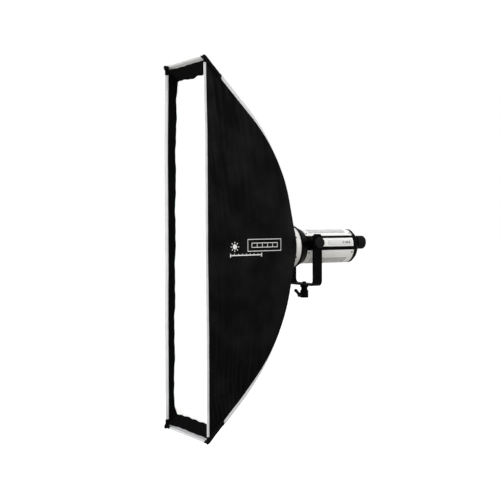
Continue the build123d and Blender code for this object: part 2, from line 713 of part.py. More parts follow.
def make_pivot_bolt():
    outer = ARM_INNER + ARM_THICK
    bolt = at_pivot(BOLT_RADIUS, -outer - 1, -60)
    head = at_pivot(8.5, -outer - 6, -outer - 0.4)
    socket = at_pivot(3.2, -outer - 10, -outer - 2.5)
    keep("pivot_bolt", bolt + head - socket)


def make_pivot_washers():
    washer = at_pivot(13, ARM_INNER - 2.0, ARM_INNER - 0.4)
    washer = washer - at_pivot(BOLT_RADIUS + 2 * GAP, 0, 100)
    keep("pivot_washers", Compound([washer, mirrored(washer)]))


LEVER_HEIGHT = 10.0
LEVER_SCREW_RADIUS = 3.0


def upright(radius, low, high):
    """A cylinder on the stand's axis between two heights."""
    return Pos(0, 0, (low + high) / 2) * Cylinder(radius, high - low)


def make_receiver():
    """Turned receiver: a body with the spigot's socket, a waist and a flared seat."""
    body_radius = 14.0
    body_height = 25.0
    body = upright(body_radius, 0, body_height)
    body = chamfer(body.edges().filter_by(GeomType.CIRCLE).group_by(Axis.Z)[0], 1.0)
    waist = upright(10.8, body_height - 2, RECEIVER_HEIGHT - 4)
    flare = upright(body_radius, RECEIVER_HEIGHT - 6, RECEIVER_HEIGHT)
    shape = body + waist + flare - upright(SOCKET_RADIUS, 0, SOCKET_DEPTH)
    shape = shape - upright(BOLT_RADIUS + GAP, SOCKET_DEPTH + 2, RECEIVER_HEIGHT + 2)
    hole_plane = Plane(origin=(0, -30, LEVER_HEIGHT), z_dir=(0, 1, 0))
    keep("stand_receiver", shape - extrude(hole_plane * Circle(LEVER_SCREW_RADIUS + GAP), 26))


def make_receiver_bolt():
    """Cap screw through the yoke's bar, with the spacer between bar and receiver."""
    bar_top = RECEIVER_HEIGHT + 1 + ARM_THICK
    stem = upright(BOLT_RADIUS, bar_top - 15, bar_top + 2)
    head = upright(6.5, bar_top + 0.1, bar_top + 5.1)
    socket = upright(2.6, bar_top + 2, bar_top + 8)
    spacer = upright(12, RECEIVER_HEIGHT + GAP, RECEIVER_HEIGHT + 0.9)
    spacer = spacer - upright(BOLT_RADIUS + 2 * GAP, RECEIVER_HEIGHT - 1, RECEIVER_HEIGHT + 2)
    keep("receiver_bolt", Compound([stem + head - socket, spacer]))


def make_lock_lever():
    """Clamp screw with a cranked lever, turned to hold the stand's spigot."""
    crank_radius = 5.2
    screw_plane = Plane(origin=(0, -SOCKET_RADIUS - 0.6, LEVER_HEIGHT), z_dir=(0, -1, 0))
    hub_plane = Plane(origin=(0, -14.2, LEVER_HEIGHT), z_dir=(0, -1, 0))
    screw = extrude(screw_plane * Circle(LEVER_SCREW_RADIUS), 8)
    hub = extrude(hub_plane * Circle(7.5), 9)
    crank_start = Vector(0, -18.5, LEVER_HEIGHT)
    crank_end = Vector(0, -34, LEVER_HEIGHT + 15)
    direction = crank_end - crank_start
    crank = extrude(Plane(origin=crank_start, z_dir=direction) * Circle(crank_radius), direction.length)
    keep("lock_lever", screw + hub + crank + Pos(*crank_end) * Sphere(crank_radius + 0.8))


make_canopy()
make_front_edge()
make_corner_pockets()
make_edge_piping()
make_diffusers()
make_rear_collar()
make_rods()
make_speedring()
make_ring_screws()
make_rotation_lock()
make_adapter()
make_mount_collar()
make_neck()
make_latch()
make_shells()
make_shell_screws()
make_rails()
make_light_engine()
make_fan()
make_driver_board()
make_rear_cap()
make_control_dial()
make_button_and_switch()
make_power_inlet()
make_yoke()
make_tilt_knob()
make_pivot_bolt()
make_pivot_washers()
make_receiver()
make_receiver_bolt()
make_lock_lever()

for name, shape in nodes.items():
    export_step(shape, f"parts/{name}.step")
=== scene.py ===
"""Looks of the strip softbox on its light head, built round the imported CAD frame. Metres."""

from math import atan2, cos, degrees, hypot, pi, radians, sin, tan

import bpy
import numpy as np
from mathutils import Matrix, Vector, noise


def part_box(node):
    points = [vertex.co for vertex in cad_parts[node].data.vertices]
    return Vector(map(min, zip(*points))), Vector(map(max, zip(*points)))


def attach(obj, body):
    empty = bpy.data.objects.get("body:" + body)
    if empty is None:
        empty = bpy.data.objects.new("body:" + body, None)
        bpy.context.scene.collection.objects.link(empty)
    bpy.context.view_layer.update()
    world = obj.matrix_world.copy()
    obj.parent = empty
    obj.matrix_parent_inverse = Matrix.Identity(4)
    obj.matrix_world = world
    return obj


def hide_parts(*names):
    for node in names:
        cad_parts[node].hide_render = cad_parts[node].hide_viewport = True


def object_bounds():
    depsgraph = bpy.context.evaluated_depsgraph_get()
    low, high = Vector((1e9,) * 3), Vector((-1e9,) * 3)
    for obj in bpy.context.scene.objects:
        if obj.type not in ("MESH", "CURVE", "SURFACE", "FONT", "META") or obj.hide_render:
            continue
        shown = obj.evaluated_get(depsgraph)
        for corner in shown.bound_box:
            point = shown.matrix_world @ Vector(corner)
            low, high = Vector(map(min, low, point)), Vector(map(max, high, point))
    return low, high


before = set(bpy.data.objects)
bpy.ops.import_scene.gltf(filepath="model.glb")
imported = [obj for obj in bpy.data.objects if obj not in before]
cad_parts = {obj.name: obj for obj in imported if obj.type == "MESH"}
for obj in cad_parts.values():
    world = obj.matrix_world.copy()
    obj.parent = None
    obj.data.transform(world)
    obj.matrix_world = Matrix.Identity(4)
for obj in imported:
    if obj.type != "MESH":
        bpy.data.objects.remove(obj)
CAD_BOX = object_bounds()
MM = 0.001

# ---- places and sizes read from the frame ----
PANEL_LOW, PANEL_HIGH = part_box("side_panel_right")
SHELL_LOW, SHELL_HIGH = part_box("upper_shell")
RIM_Y = PANEL_LOW.y
AXIS_Z = (PANEL_LOW.z + PANEL_HIGH.z) / 2
RIM_HALF_WIDTH = PANEL_HIGH.x
RIM_HALF_HEIGHT = (PANEL_HIGH.z - PANEL_LOW.z) / 2
BOX_DEPTH = PANEL_HIGH.y - PANEL_LOW.y
REAR_EDGE_WIDTH = 2.24 * MM  # the wall's cut edge at the ring
REAR_HALF_WIDTH = PANEL_LOW.x + REAR_EDGE_WIDTH
REAR_HALF_HEIGHT = 61.5 * MM
BODY_RADIUS = SHELL_HIGH.z - AXIS_Z

# ---- shape of the bowed walls, as the frame has them ----
FRONT_SLOPE = tan(radians(44.5))
REAR_SLOPE = tan(radians(74.0))
BEND_LONG = 0.40
BEND_SHORT = 0.64
WIDTH_SHARE = (RIM_HALF_WIDTH - REAR_HALF_WIDTH) / (RIM_HALF_HEIGHT - REAR_HALF_HEIGHT)


def mix(a, b, share):
    return a + (b - a) * share


def smooth(x, low, high):
    """0 below low, 1 above high, and an even step between them."""
    t = np.clip((x - low) / (high - low), 0.0, 1.0)
    return t * t * (3 - 2 * t)


def fall(x, low, high):
    """1 below low, 0 above high."""
    return 1 - smooth(x, low, high)


def bump_at(x, middle, width):
    """A soft ridge of height 1 at middle."""
    return np.exp(-((x - middle) / width) ** 2)


def wall_half(depth, sideways, inset=0.0):
    """Half width (sideways) or half height of the fabric box at depths behind its rim."""
    share = WIDTH_SHARE if sideways else 1.0
    front_slope = share * FRONT_SLOPE
    rear_slope = share * REAR_SLOPE
    front = (RIM_HALF_WIDTH if sideways else RIM_HALF_HEIGHT) - inset * hypot(1, front_slope)
    rear = (REAR_HALF_WIDTH if sideways else REAR_HALF_HEIGHT) - inset * hypot(1, rear_slope)
    bend = (rear + rear_slope * BOX_DEPTH - front) / (rear_slope - front_slope)
    bend_half = front - front_slope * bend
    start = bend * (1 - BEND_LONG)
    end = mix(bend, BOX_DEPTH, BEND_SHORT)
    start_half = front - front_slope * start
    end_half = rear + rear_slope * (BOX_DEPTH - end)
    square = start - 2 * bend + end
    linear = 2 * (bend - start)
    bent = np.clip(depth, start, end)
    t = (np.sqrt(linear * linear - 4 * square * (start - bent)) - linear) / (2 * square)
    curve = (1 - t) ** 2 * start_half + 2 * t * (1 - t) * bend_half + t * t * end_half
    before = np.clip(start - depth, 0, None)
    beyond = np.clip(depth - end, 0, None)
    return curve + front_slope * before - rear_slope * beyond


def wall_depths(count):
    """Depths spaced evenly along the bowed end wall, with their running lengths."""
    fine = np.linspace(0, BOX_DEPTH, 600)
    steps = np.hypot(np.diff(fine), np.diff(wall_half(fine, False)))
    length = np.concatenate([[0.0], np.cumsum(steps)])
    wanted = np.linspace(0, length[-1], count)
    return np.interp(wanted, length, fine), wanted


def joined(*values):
    """Broadcast numbers or grids against each other as the last axis of one array."""
    return np.stack(np.broadcast_arrays(*values), axis=-1)


def place(x, depth, rise):
    """Points given across, behind the rim and above the optical axis."""
    return joined(x, RIM_Y + depth, AXIS_Z + rise)


# ---- shader helpers ----
class Nodes:
    """Shader nodes of one tree, on one kind of coordinates."""

    def __init__(self, tree, coordinates):
        self.tree = tree
        self.vector = self.add("TexCoord").outputs[coordinates]

    def put(self, socket, value):
        """Link an output to a socket, or set the socket's own value."""
        if isinstance(value, bpy.types.NodeSocket):
            self.tree.links.new(value, socket)
        else:
            socket.default_value = value

    def add(self, kind, **inputs):
        node = self.tree.nodes.new("ShaderNode" + kind)
        for socket, value in inputs.items():
            self.put(node.inputs[socket.replace("_", " ")], value)
        return node

    def noise(self, scale, detail=3.0, roughness=0.55, vector=None):
        where = self.vector if vector is None else vector
        node = self.add("TexNoise", Vector=where, Scale=scale, Detail=detail, Roughness=roughness)
        return node.outputs["Fac"]

    def cells(self, scale):
        return self.add("TexVoronoi", Vector=self.vector, Scale=scale).outputs["Distance"]

    def wave(self, period, direction):
        """Even ridges with a period in metres along one axis of the coordinates."""
        node = self.add("TexWave", Vector=self.vector, Scale=2 * pi / (20 * period), Distortion=0.0)
        node.bands_direction = direction
        return node.outputs["Fac"]

    def math(self, operation, first, second):
        node = self.add("Math")
        node.operation = operation
        self.put(node.inputs[0], first)
        self.put(node.inputs[1], second)
        return node.outputs[0]

    def weave(self, period, across="X", along="Y"):
        """Plain weave: warp and weft ridges that pass over each other in turn."""
        return self.math("MAXIMUM", self.wave(period, across), self.wave(period, along))

    def rescale(self, value, low, high, to_low, to_high):
        """Map the stretch from low to high onto another one, and hold its ends."""
        node = self.add("MapRange", Value=value, From_Min=low, From_Max=high, To_Min=to_low, To_Max=to_high)
        return node.outputs["Result"]

    def ramp(self, factor, positions, colours):
        node = self.add("ValToRGB", Fac=factor)
        for stop, position, colour in zip(node.color_ramp.elements, positions, colours):
            stop.position = position
            stop.color = (*colour, 1)
        return node.outputs["Color"]


class Look(Nodes):
    """One procedural material."""

    NOISE_BAND = (0.3, 0.7)  # where most of a noise texture's values lie

    def __init__(self, name, colour, roughness, coordinates="Object", **settings):
        self.material = bpy.data.materials.new(name)
        self.material.use_nodes = True
        super().__init__(self.material.node_tree, coordinates)
        self.shader = self.tree.nodes["Principled BSDF"]
        settings.update(Base_Color=(*colour, 1), Roughness=roughness)
        for socket, value in settings.items():
            self.put(self.shader.inputs[socket.replace("_", " ")], value)

    def colour(self, factor, dark, light):
        self.put(self.shader.inputs["Base Color"], self.ramp(factor, self.NOISE_BAND, (dark, light)))

    def roughness(self, factor, low, high):
        self.put(self.shader.inputs["Roughness"], self.rescale(factor, *self.NOISE_BAND, low, high))

    def bump(self, height, distance, strength=1.0):
        node = self.add("Bump", Height=height, Distance=distance, Strength=strength)
        self.put(self.shader.inputs["Normal"], node.outputs["Normal"])


def grey(level, blue=0.0):
    """A neutral colour, or one with a little more or less blue."""
    return (level, level, level + blue)


# ---- materials ----
def painted_fold_light_and_shade(look):
    """Painted highlight streaks along long creases down from the upper corners of a panel, and painted shade
    towards its bottom.
    """
    parts = look.add("SeparateXYZ", Vector=look.vector)
    back, up = parts.outputs["X"], parts.outputs["Y"]
    leaning = look.math("ADD", back, look.math("MULTIPLY", up, 0.15))
    stretched = look.add("CombineXYZ", X=look.math("MULTIPLY", leaning, 12.0), Y=up)
    crease = look.noise(5.5, 2.0, vector=stretched.outputs[0])
    reach = look.rescale(up, -0.15, 0.55, 0.0, 1.5)
    near_rim = look.rescale(look.math("ABSOLUTE", back, 0.0), 0.07, 0.20, 1.0, 0.35)
    # Painted highlight: pale streaks along the creases, strongest near the upper corners, stand in for light
    # caught by the folds.
    painted_fold_highlights = look.math("MULTIPLY", look.math("SUBTRACT", crease, 0.48), look.math("MULTIPLY", reach, near_rim))
    # Painted shade: the ramp on up darkens the cloth towards the bottom, for light that falls from above.
    return look.math("ADD", painted_fold_highlights, look.rescale(up, -0.45, 0.05, -0.20, -0.07))


def shell_cloth():
    """Black polyester of the outer shell: fine weave, slight nap, faint cloudy wear, with painted fold
    highlights and painted shade towards the bottom.
    """
    look = Look("black_shell_cloth", grey(0.004, 0.0002), 0.82, "UV", Sheen_Weight=0.02,
                Sheen_Roughness=0.4, Specular_IOR_Level=0.045)
    cloud = look.noise(9.0, 5.0)
    # The colour adds painted fold highlights and painted shade towards the bottom to the cloudy tone.
    shade = look.math("ADD", cloud, painted_fold_light_and_shade(look))
    look.colour(shade, grey(0.0010, 0.0001), grey(0.0085, 0.0002))
    look.roughness(cloud, 0.40, 0.50)
    slubs = look.noise(420.0, 2.0)
    look.bump(look.math("ADD", look.weave(0.75 * MM), slubs), 0.10 * MM, 0.6)
    return look.material


def lining_cloth():
    """Silver coated inner face of the shell, pebbled to scatter the light."""
    look = Look("silver_lining", (0.62, 0.63, 0.64), 0.36, "UV", Metallic=0.85)
    look.roughness(look.noise(30.0), 0.30, 0.44)
    look.bump(look.cells(520.0), 0.25 * MM)
    return look.material


def silver_tape():
    """Grosgrain binding: close ribs across the tape, slightly shiny."""
    look = Look("silver_binding_tape", (0.60, 0.62, 0.64), 0.52, "UV", Sheen_Weight=0.15,
                Specular_IOR_Level=0.5)
    look.colour(look.noise(26.0, 4.0), (0.60, 0.61, 0.62), (0.72, 0.73, 0.74))
    threads = look.math("MULTIPLY", look.wave(0.45 * MM, "Y"), 0.35)
    look.bump(look.math("ADD", look.wave(1.1 * MM, "X"), threads), 0.18 * MM, 0.7)
    return look.material


def loop_tape():
    """Black hook-and-loop tape: a dense matt pile."""
    look = Look("black_loop_tape", grey(0.002), 0.95, "UV", Sheen_Weight=0.005, Sheen_Roughness=0.6,
                Specular_IOR_Level=0.02)
    look.colour(look.noise(60.0), grey(0.0014, 0.0001), grey(0.0026, 0.0001))
    look.bump(look.noise(900.0, 4.0, 0.7), 0.6 * MM, 0.8)
    return look.material


def pocket_nylon():
    """Heavy ballistic nylon of the rod pockets: coarse basket weave with a low shine."""
    look = Look("pocket_nylon", grey(0.002, 0.0002), 0.6, "UV", Sheen_Weight=0.01, Specular_IOR_Level=0.05)
    look.roughness(look.noise(40.0), 0.50, 0.72)
    look.bump(look.weave(1.5 * MM), 0.3 * MM, 0.8)
    return look.material


def diffuser_cloth():
    """White translucent diffusion cloth with a painted glow: its faint emission stands in for light, since
    no lamp is lit behind it.
    """
    # Emission here is a painted glow; the cloth is no lamp.
    look = Look("diffuser_cloth", grey(0.92, 0.005), 0.7, "UV", Sheen_Weight=0.1, Subsurface_Weight=0.25,
                Subsurface_Scale=2 * MM, Emission_Color=(1, 1, 1, 1), Emission_Strength=0.35)
    look.colour(look.noise(14.0), grey(0.90, 0.005), grey(0.945, 0.005))
    look.bump(look.weave(0.6 * MM), 0.06 * MM, 0.5)
    return look.material


def sewing_thread(name, colour):
    look = Look(name, colour, 0.55, Sheen_Weight=0.2)
    twist = look.noise(1800.0, 2.0)
    look.roughness(twist, 0.45, 0.7)
    look.bump(twist, 0.1 * MM)
    return look.material


def print_ink():
    """Screen-printed white ink, thin enough for the weave to show."""
    look = Look("white_print_ink", grey(0.86), 0.55)
    look.colour(look.noise(240.0, 5.0), grey(0.74), grey(0.9))
    look.bump(look.weave(0.75 * MM, "Y", "Z"), 0.05 * MM, 0.5)
    return look.material


def powder_coat(name, dark, light, roughness, grain=1400.0, depth=0.05 * MM, **settings):
    """Baked powder coat: a fine orange peel with slightly uneven gloss."""
    look = Look(name, light, roughness, **settings)
    look.colour(look.noise(22.0, 4.0), dark, light)
    look.roughness(look.noise(60.0), roughness - 0.06, roughness + 0.06)
    look.bump(look.noise(grain, 2.0), depth, 0.6)
    return look.material


def machined_metal(name, colour, roughness, axis="Y", period=0.5 * MM, metallic=1.0):
    """Turned or drawn metal: fine tool lines along one axis and cloudy anodising."""
    look = Look(name, colour, roughness, Metallic=metallic)
    cloud = look.noise(30.0, 4.0)
    look.colour(cloud, tuple(0.93 * c for c in colour), colour)
    look.roughness(cloud, roughness - 0.05, roughness + 0.07)
    look.bump(look.math("ADD", look.wave(period, axis), look.noise(700.0, 3.0)), 0.02 * MM, 0.5)
    return look.material


def moulded(name, colour, roughness, grain=1100.0, shine=0.14):
    """Moulded plastic with a spark-eroded texture."""
    look = Look(name, colour, roughness, Specular_IOR_Level=shine)
    look.colour(look.noise(45.0), colour, tuple(1.5 * c for c in colour))
    look.roughness(look.noise(90.0), roughness - 0.07, roughness + 0.07)
    look.bump(look.noise(grain, 3.0), 0.08 * MM, 0.7)
    return look.material


def clear_glass():
    look = Look("lamp_cover_glass", (0.97, 0.98, 0.98), 0.03, Transmission_Weight=1.0, IOR=1.47)
    ripples = look.noise(25.0)
    look.roughness(ripples, 0.01, 0.06)
    look.bump(ripples, 0.05 * MM, 0.3)
    return look.material


def display_window():
    look = Look("display_window", (0.004, 0.005, 0.007), 0.08, Coat_Weight=0.6, Coat_Roughness=0.03)
    look.roughness(look.noise(120.0, 5.0), 0.05, 0.16)
    return look.material


def phosphor():
    look = Look("led_phosphor", (0.85, 0.66, 0.12), 0.6)
    cells = look.cells(900.0)
    look.colour(cells, (0.80, 0.58, 0.08), (0.92, 0.78, 0.30))
    look.bump(cells, 0.1 * MM)
    return look.material


def circuit_laminate():
    look = Look("circuit_laminate", (0.02, 0.11, 0.05), 0.35, Coat_Weight=0.3)
    look.colour(look.noise(350.0, 1.0), (0.014, 0.09, 0.035), (0.03, 0.15, 0.07))
    look.bump(look.weave(0.8 * MM, "X", "Z"), 0.03 * MM)
    return look.material


SHELL_CLOTH = shell_cloth()
LINING = lining_cloth()
SILVER_TAPE = silver_tape()
LOOP_TAPE = loop_tape()
NYLON = pocket_nylon()
DIFFUSER = diffuser_cloth()
BLACK_THREAD = sewing_thread("black_thread", grey(0.006, 0.0005))
GREY_THREAD = sewing_thread("grey_thread", (0.45, 0.46, 0.48))
INK = print_ink()
WHITE_COAT = powder_coat("white_powder_coat", grey(0.80, -0.015), grey(0.85, -0.015), 0.42)
LABEL_GREY = powder_coat("pale_grey_label", grey(0.66, -0.01), grey(0.71, -0.01), 0.5, 2400.0, 0.02 * MM)
LABEL_DARK = powder_coat("dark_label_print", grey(0.10), grey(0.16), 0.5, 2400.0, 0.02 * MM)
BLACK_COAT = powder_coat("black_powder_coat", grey(0.0012, 0.0002), grey(0.0024, 0.0002), 0.40,
                         Specular_IOR_Level=0.04)
SILVER_COAT = powder_coat("silver_coat", (0.74, 0.73, 0.71), (0.80, 0.79, 0.77), 0.38, 1000.0, 0.03 * MM,
                          Metallic=0.25)
ADAPTER_METAL = machined_metal("adapter_aluminium", grey(0.74, 0.01), 0.3)
DARK_STEEL = machined_metal("black_oxide_steel", grey(0.012, 0.001), 0.42, "X", 0.4 * MM, 0.6)
SINK_METAL = machined_metal("black_anodised_aluminium", grey(0.014, 0.001), 0.45, "Z", 0.7 * MM, 0.6)
BLACK_PLASTIC = moulded("black_moulded_plastic", grey(0.0028, 0.0002), 0.5)
GREY_NYLON = moulded("nylon_washer", grey(0.04), 0.5, 600.0, 0.4)
DIAL_RUBBER = moulded("dial_rubber", grey(0.0024, 0.0002), 0.68, 700.0)
GLASS = clear_glass()
DISPLAY = display_window()
PHOSPHOR = phosphor()
LAMINATE = circuit_laminate()


# ---- mesh helpers ----
def new_piece(name, vertices, faces, materials, slot="black_fabric", uv=None, body="softbox"):
    """A mesh object that rides on a body; uv gives one pair of metres for each vertex."""
    mesh = bpy.data.meshes.new(name)
    mesh.from_pydata([tuple(v) for v in vertices], [], faces)
    mesh.update()
    if uv is not None:
        layer = mesh.uv_layers.new(name="metres")
        for loop in mesh.loops:
            layer.data[loop.index].uv = uv[loop.vertex_index]
    for material in materials:
        mesh.materials.append(material)
    for polygon in mesh.polygons:
        polygon.use_smooth = True
    piece = bpy.data.objects.new(name, mesh)
    bpy.context.scene.collection.objects.link(piece)
    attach(piece, body)
    return piece


def flipped(faces):
    return [tuple(reversed(face)) for face in faces]


def grid_faces(rows, columns, closed=False):
    """Quads of a grid of points stored row by row; closed joins the last column to the first."""
    faces = []
    last = columns if closed else columns - 1
    for i in range(rows - 1):
        for j in range(last):
            k = (j + 1) % columns
            faces.append((i * columns + j, i * columns + k, (i + 1) * columns + k, (i + 1) * columns + j))
    return faces


def grid_piece(name, points, materials, slot="black_fabric", uv=None, closed=False, flip=False,
               body="softbox"):
    """A piece from an array of points [rows, columns, 3]."""
    rows, columns = points.shape[:2]
    faces = grid_faces(rows, columns, closed)
    flat_uv = None if uv is None else uv.reshape(-1, 2)
    return new_piece(name, points.reshape(-1, 3), flipped(faces) if flip else faces, materials, slot,
                     flat_uv, body)


def thicken(piece, thickness, lining=False):
    modifier = piece.modifiers.new("thickness", "SOLIDIFY")
    modifier.thickness = thickness
    modifier.offset = -1.0
    modifier.use_even_offset = False
    if lining:
        modifier.material_offset = 1
        modifier.material_offset_rim = 0


def unit(vectors):
    return vectors / np.linalg.norm(vectors, axis=-1, keepdims=True)


def frames_along(points):
    """Tangent, side and up vectors at each point of a path, turned as little as possible."""
    tangents = unit(np.gradient(points, axis=0))
    side = np.cross(tangents[0], (0.0, 0.0, 1.0))
    sides = []
    for tangent in tangents:
        side = unit(side - tangent * np.dot(side, tangent))
        sides.append(side)
    return tangents, np.array(sides), np.cross(tangents, sides)


def stitches(name, path, outward, thread, slot, length=3.2 * MM):
    """A row of raised stitches along a path; outward points off the cloth."""
    gap = 1.3 * MM
    width = 0.35 * MM
    steps = np.linalg.norm(np.diff(path, axis=0), axis=1)
    run = np.concatenate([[0.0], np.cumsum(steps)])
    vertices, faces = [], []
    for k in range(int(run[-1] / (length + gap))):
        ends = np.array([k * (length + gap), k * (length + gap) + length])
        start, end = [np.array([np.interp(e, run, path[:, axis]) for axis in range(3)]) for e in ends]
        normal = np.array([np.interp(ends.mean(), run, outward[:, axis]) for axis in range(3)])
        sideways = np.cross(unit(end - start), normal) * width
        middle = (start + end) / 2 + normal * width
        base = len(vertices)
        vertices += [start, middle - sideways, middle + sideways, end, middle + normal * width * 0.6]
        faces += [(base, base + 4, base + 1), (base + 1, base + 4, base + 3)]
        faces += [(base + 3, base + 4, base + 2), (base + 2, base + 4, base)]
        faces += [(base, base + 1, base + 3, base + 2)]
    return new_piece(name, vertices, faces, [thread], slot)


# ---- softbox shell ----
SEAM_DEPTH = 47 * MM
CLOTH_SKIN = 1.0 * MM
STEEP = 1 / hypot(1, FRONT_SLOPE)
RIM_DROP = 2.0 * MM
TOP_SAG = 3.5 * MM
BELLY_OUT = 4.0 * MM
BELLY_IN = 5.0 * MM
TWIST = 4.0 * MM
WAIST = 4.0 * MM
CUFF_BULGE = 9.0 * MM
LOOSE_DEPTH = 250 * MM  # how far behind the rim its twist and waist die out
HELD_FROM, HELD_TO = 270 * MM, 340 * MM  # where the ring takes hold of the end walls
EDGE_FOLD = 2.2 * MM
FAN_FOLD = 1.6 * MM


def settle(points):
    """How the sewn shell hangs on its rods, compared with the taut shape of the frame."""
    points = np.array(points, dtype=float)
    x = points[..., 0].copy()
    depth = points[..., 1] - RIM_Y
    rise = points[..., 2] - AXIS_Z
    share = rise / wall_half(np.clip(depth, 0, BOX_DEPTH), False)
    width_share = np.clip(x / RIM_HALF_WIDTH, -1, 1)
    loose = fall(depth, 0.0, LOOSE_DEPTH)
    free = fall(depth, HELD_FROM, HELD_TO)
    points[..., 0] -= WAIST * width_share * smooth(rise, -0.25, 0.0) * loose
    points[..., 1] -= TWIST * width_share * smooth(rise, RIM_HALF_HEIGHT - 0.30, RIM_HALF_HEIGHT) * loose
    sag = TOP_SAG * smooth(depth, 0.03, 0.08) * free
    points[..., 2] -= (RIM_DROP * free + sag) * np.clip(share, 0, 1)
    belly = BELLY_IN * smooth(depth, 0.22, 0.31) - BELLY_OUT * bump_at(depth, 0.135, 0.05)
    points[..., 2] += belly * np.clip(-share, 0, 1)
    flank = np.clip(1 - (rise / REAR_HALF_HEIGHT) ** 2, 0, 1) * smooth(np.abs(x), 0.062, 0.072)
    points[..., 1] += CUFF_BULGE * flank * smooth(depth, 0.30, BOX_DEPTH)
    return points


def corner_folds(depth, rise):
    """Tension folds that run away from the rod pockets."""
    height = 0.0
    for side, reach, spacing in ((1, 0.20, 13 * MM), (-1, 0.27, 17 * MM)):
        away = RIM_HALF_HEIGHT - 0.045 - side * rise
        fade = np.exp(-np.clip(away, 0, None) / reach * 1.6) * smooth(away, 0.0, 0.05)
        lean = depth + 0.07 * away - 0.10 * away * away
        phase = lean / spacing + 0.35 * np.sin(away * 21 + side)
        window = smooth(depth, 0.012, 0.03) * fall(depth, 0.12, 0.20)
        height = height + EDGE_FOLD * np.sin(2 * pi * phase) * fade * window
        fan = np.exp(-np.clip(away - 0.10, 0, None) / 0.10) * smooth(away, 0.05, 0.16)
        ribs = np.sin(2 * pi * (depth - 0.12 * away) / (26 * MM)) * fan
        height = height + FAN_FOLD * ribs * smooth(depth, 0.07, 0.11) * fall(depth, 0.20, 0.27)
    return height


def seam_relief(depth, rise):
    """Pulled-in seam where the lip is sewn on, with a soft roll on each side."""
    wander = 2.2 * MM * np.sin(rise * 9.0 + 1.0) + 1.2 * MM * np.sin(rise * 23.0)
    line = depth - SEAM_DEPTH - wander
    valley = -1.3 * MM * bump_at(line, 0.0, 3.2 * MM)
    return valley + 0.8 * MM * bump_at(line, 9 * MM, 6 * MM) + 0.5 * MM * bump_at(line, -14 * MM, 9 * MM)


def slow_waves(depth, rise):
    """The slack of a large stretched panel."""
    ripple = 0.7 * MM * np.sin(2 * pi * depth / 0.062 + 1.4 * np.sin(rise * 5.0))
    swell = 1.1 * MM * np.sin(rise * 7.0 + depth * 11.0) * np.sin(depth * 16.0)
    return ripple * smooth(depth, 0.05, 0.09) * fall(depth, 0.15, 0.30) + swell


def edge_pucker(along, from_edge):
    """Small gathers where a panel is sewn to its neighbour."""
    ripple = np.sin(2 * pi * along / (13 * MM)) + 0.5 * np.sin(2 * pi * along / (8.3 * MM) + 1.0)
    return 0.35 * MM * ripple * np.exp(-from_edge / (9 * MM)) * smooth(from_edge, 0.0, 3 * MM)


def side_relief(depth, rise):
    """How far a long wall's cloth stands off its taut shape."""
    half_height = wall_half(depth, False)
    from_edge = np.clip(half_height - np.abs(rise), 0, None) * 0.7
    fade = smooth(from_edge, 0.0, 14 * MM) * smooth(depth, 2 * MM, 14 * MM) * fall(depth, 0.345, 0.366)
    hollow = 1.6 * MM * np.cos(rise / half_height * pi / 2) * smooth(depth, 0.02, 0.12)
    relief = corner_folds(depth, rise) + seam_relief(depth, rise) + slow_waves(depth, rise) - hollow
    along = depth + RIM_HALF_HEIGHT - half_height
    return np.minimum(relief * fade + edge_pucker(along, from_edge), 1.2 * MM)


def end_relief(depth, x):
    """How far a short wall's cloth stands off its taut shape."""
    half_width = wall_half(depth, True)
    across = x / half_width
    along = depth + RIM_HALF_HEIGHT - wall_half(depth, False)
    from_edge = np.clip(half_width - np.abs(x), 0, None)
    sag = -2.4 * MM * np.cos(across * pi / 2)
    tuck = 0.9 * MM * np.sin(2 * pi * along / 0.042 + 2.0 * across) * np.exp(-from_edge / 0.03)
    cross = 0.8 * MM * np.sin(across * 5.0 + along * 13.0)
    relief = sag + tuck * smooth(from_edge, 0, 6 * MM) + cross * smooth(from_edge, 0, 20 * MM)
    return relief * smooth(depth, 3 * MM, 25 * MM) * fall(depth, 0.340, 0.364)


def on_side_wall(side, depth, rise, lift=0.0):
    """Points on a long wall, lift off the outer face of its cloth."""
    half_width = wall_half(depth, True) + side_relief(depth, rise) + lift
    return settle(place(side * half_width, depth, rise))


def on_end_wall(level, depth, x, lift=0.0):
    """Points on a short wall, lift off the outer face of its cloth."""
    off = (end_relief(depth, x) + lift) * STEEP
    back = off * smooth(depth, 3 * MM, 40 * MM)
    return settle(place(x, depth + back, level * (wall_half(depth, False) + off)))


def wall_cloth(name, points, uv, flip):
    """One wall of the shell: black cloth with a silver lining."""
    piece = grid_piece(name + "_cloth", points, [SHELL_CLOTH, LINING], uv=uv, flip=flip)
    thicken(piece, CLOTH_SKIN, lining=True)
    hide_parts(name)
    return piece


def panel_area(slants, widths):
    return float((slants * (widths[1:] + widths[:-1]) / 2).sum())


def side_panel(side, name):
    """One long wall: flat top to bottom, bowed front to back, with its folds pressed in."""
    depths, _ = wall_depths(150)
    depth = depths[:, None]
    rise = np.linspace(-1, 1, 360)[None, :] * wall_half(depth, False)
    run = depth * hypot(1, WIDTH_SHARE * FRONT_SLOPE)
    piece = wall_cloth(name, on_side_wall(side, depth, rise), joined(run, rise), side > 0)
    slants = np.hypot(np.diff(depths), np.diff(wall_half(depths, True)))
    area = panel_area(slants, 2 * wall_half(depths, False))
    return piece, (float(slants.sum()), 2 * RIM_HALF_HEIGHT), area


def end_panel(level, name):
    """One short wall, between the long ones: flat across, bowed front to back."""
    depths, lengths = wall_depths(170)
    depth = depths[:, None]
    x = np.linspace(-1, 1, 90)[None, :] * (wall_half(depth, True) - 0.4 * MM)
    piece = wall_cloth(name, on_end_wall(level, depth, x), joined(lengths[:, None], x), level < 0)
    area = panel_area(np.diff(lengths), 2 * wall_half(depths, True))
    return piece, (2 * RIM_HALF_WIDTH, float(lengths[-1])), area


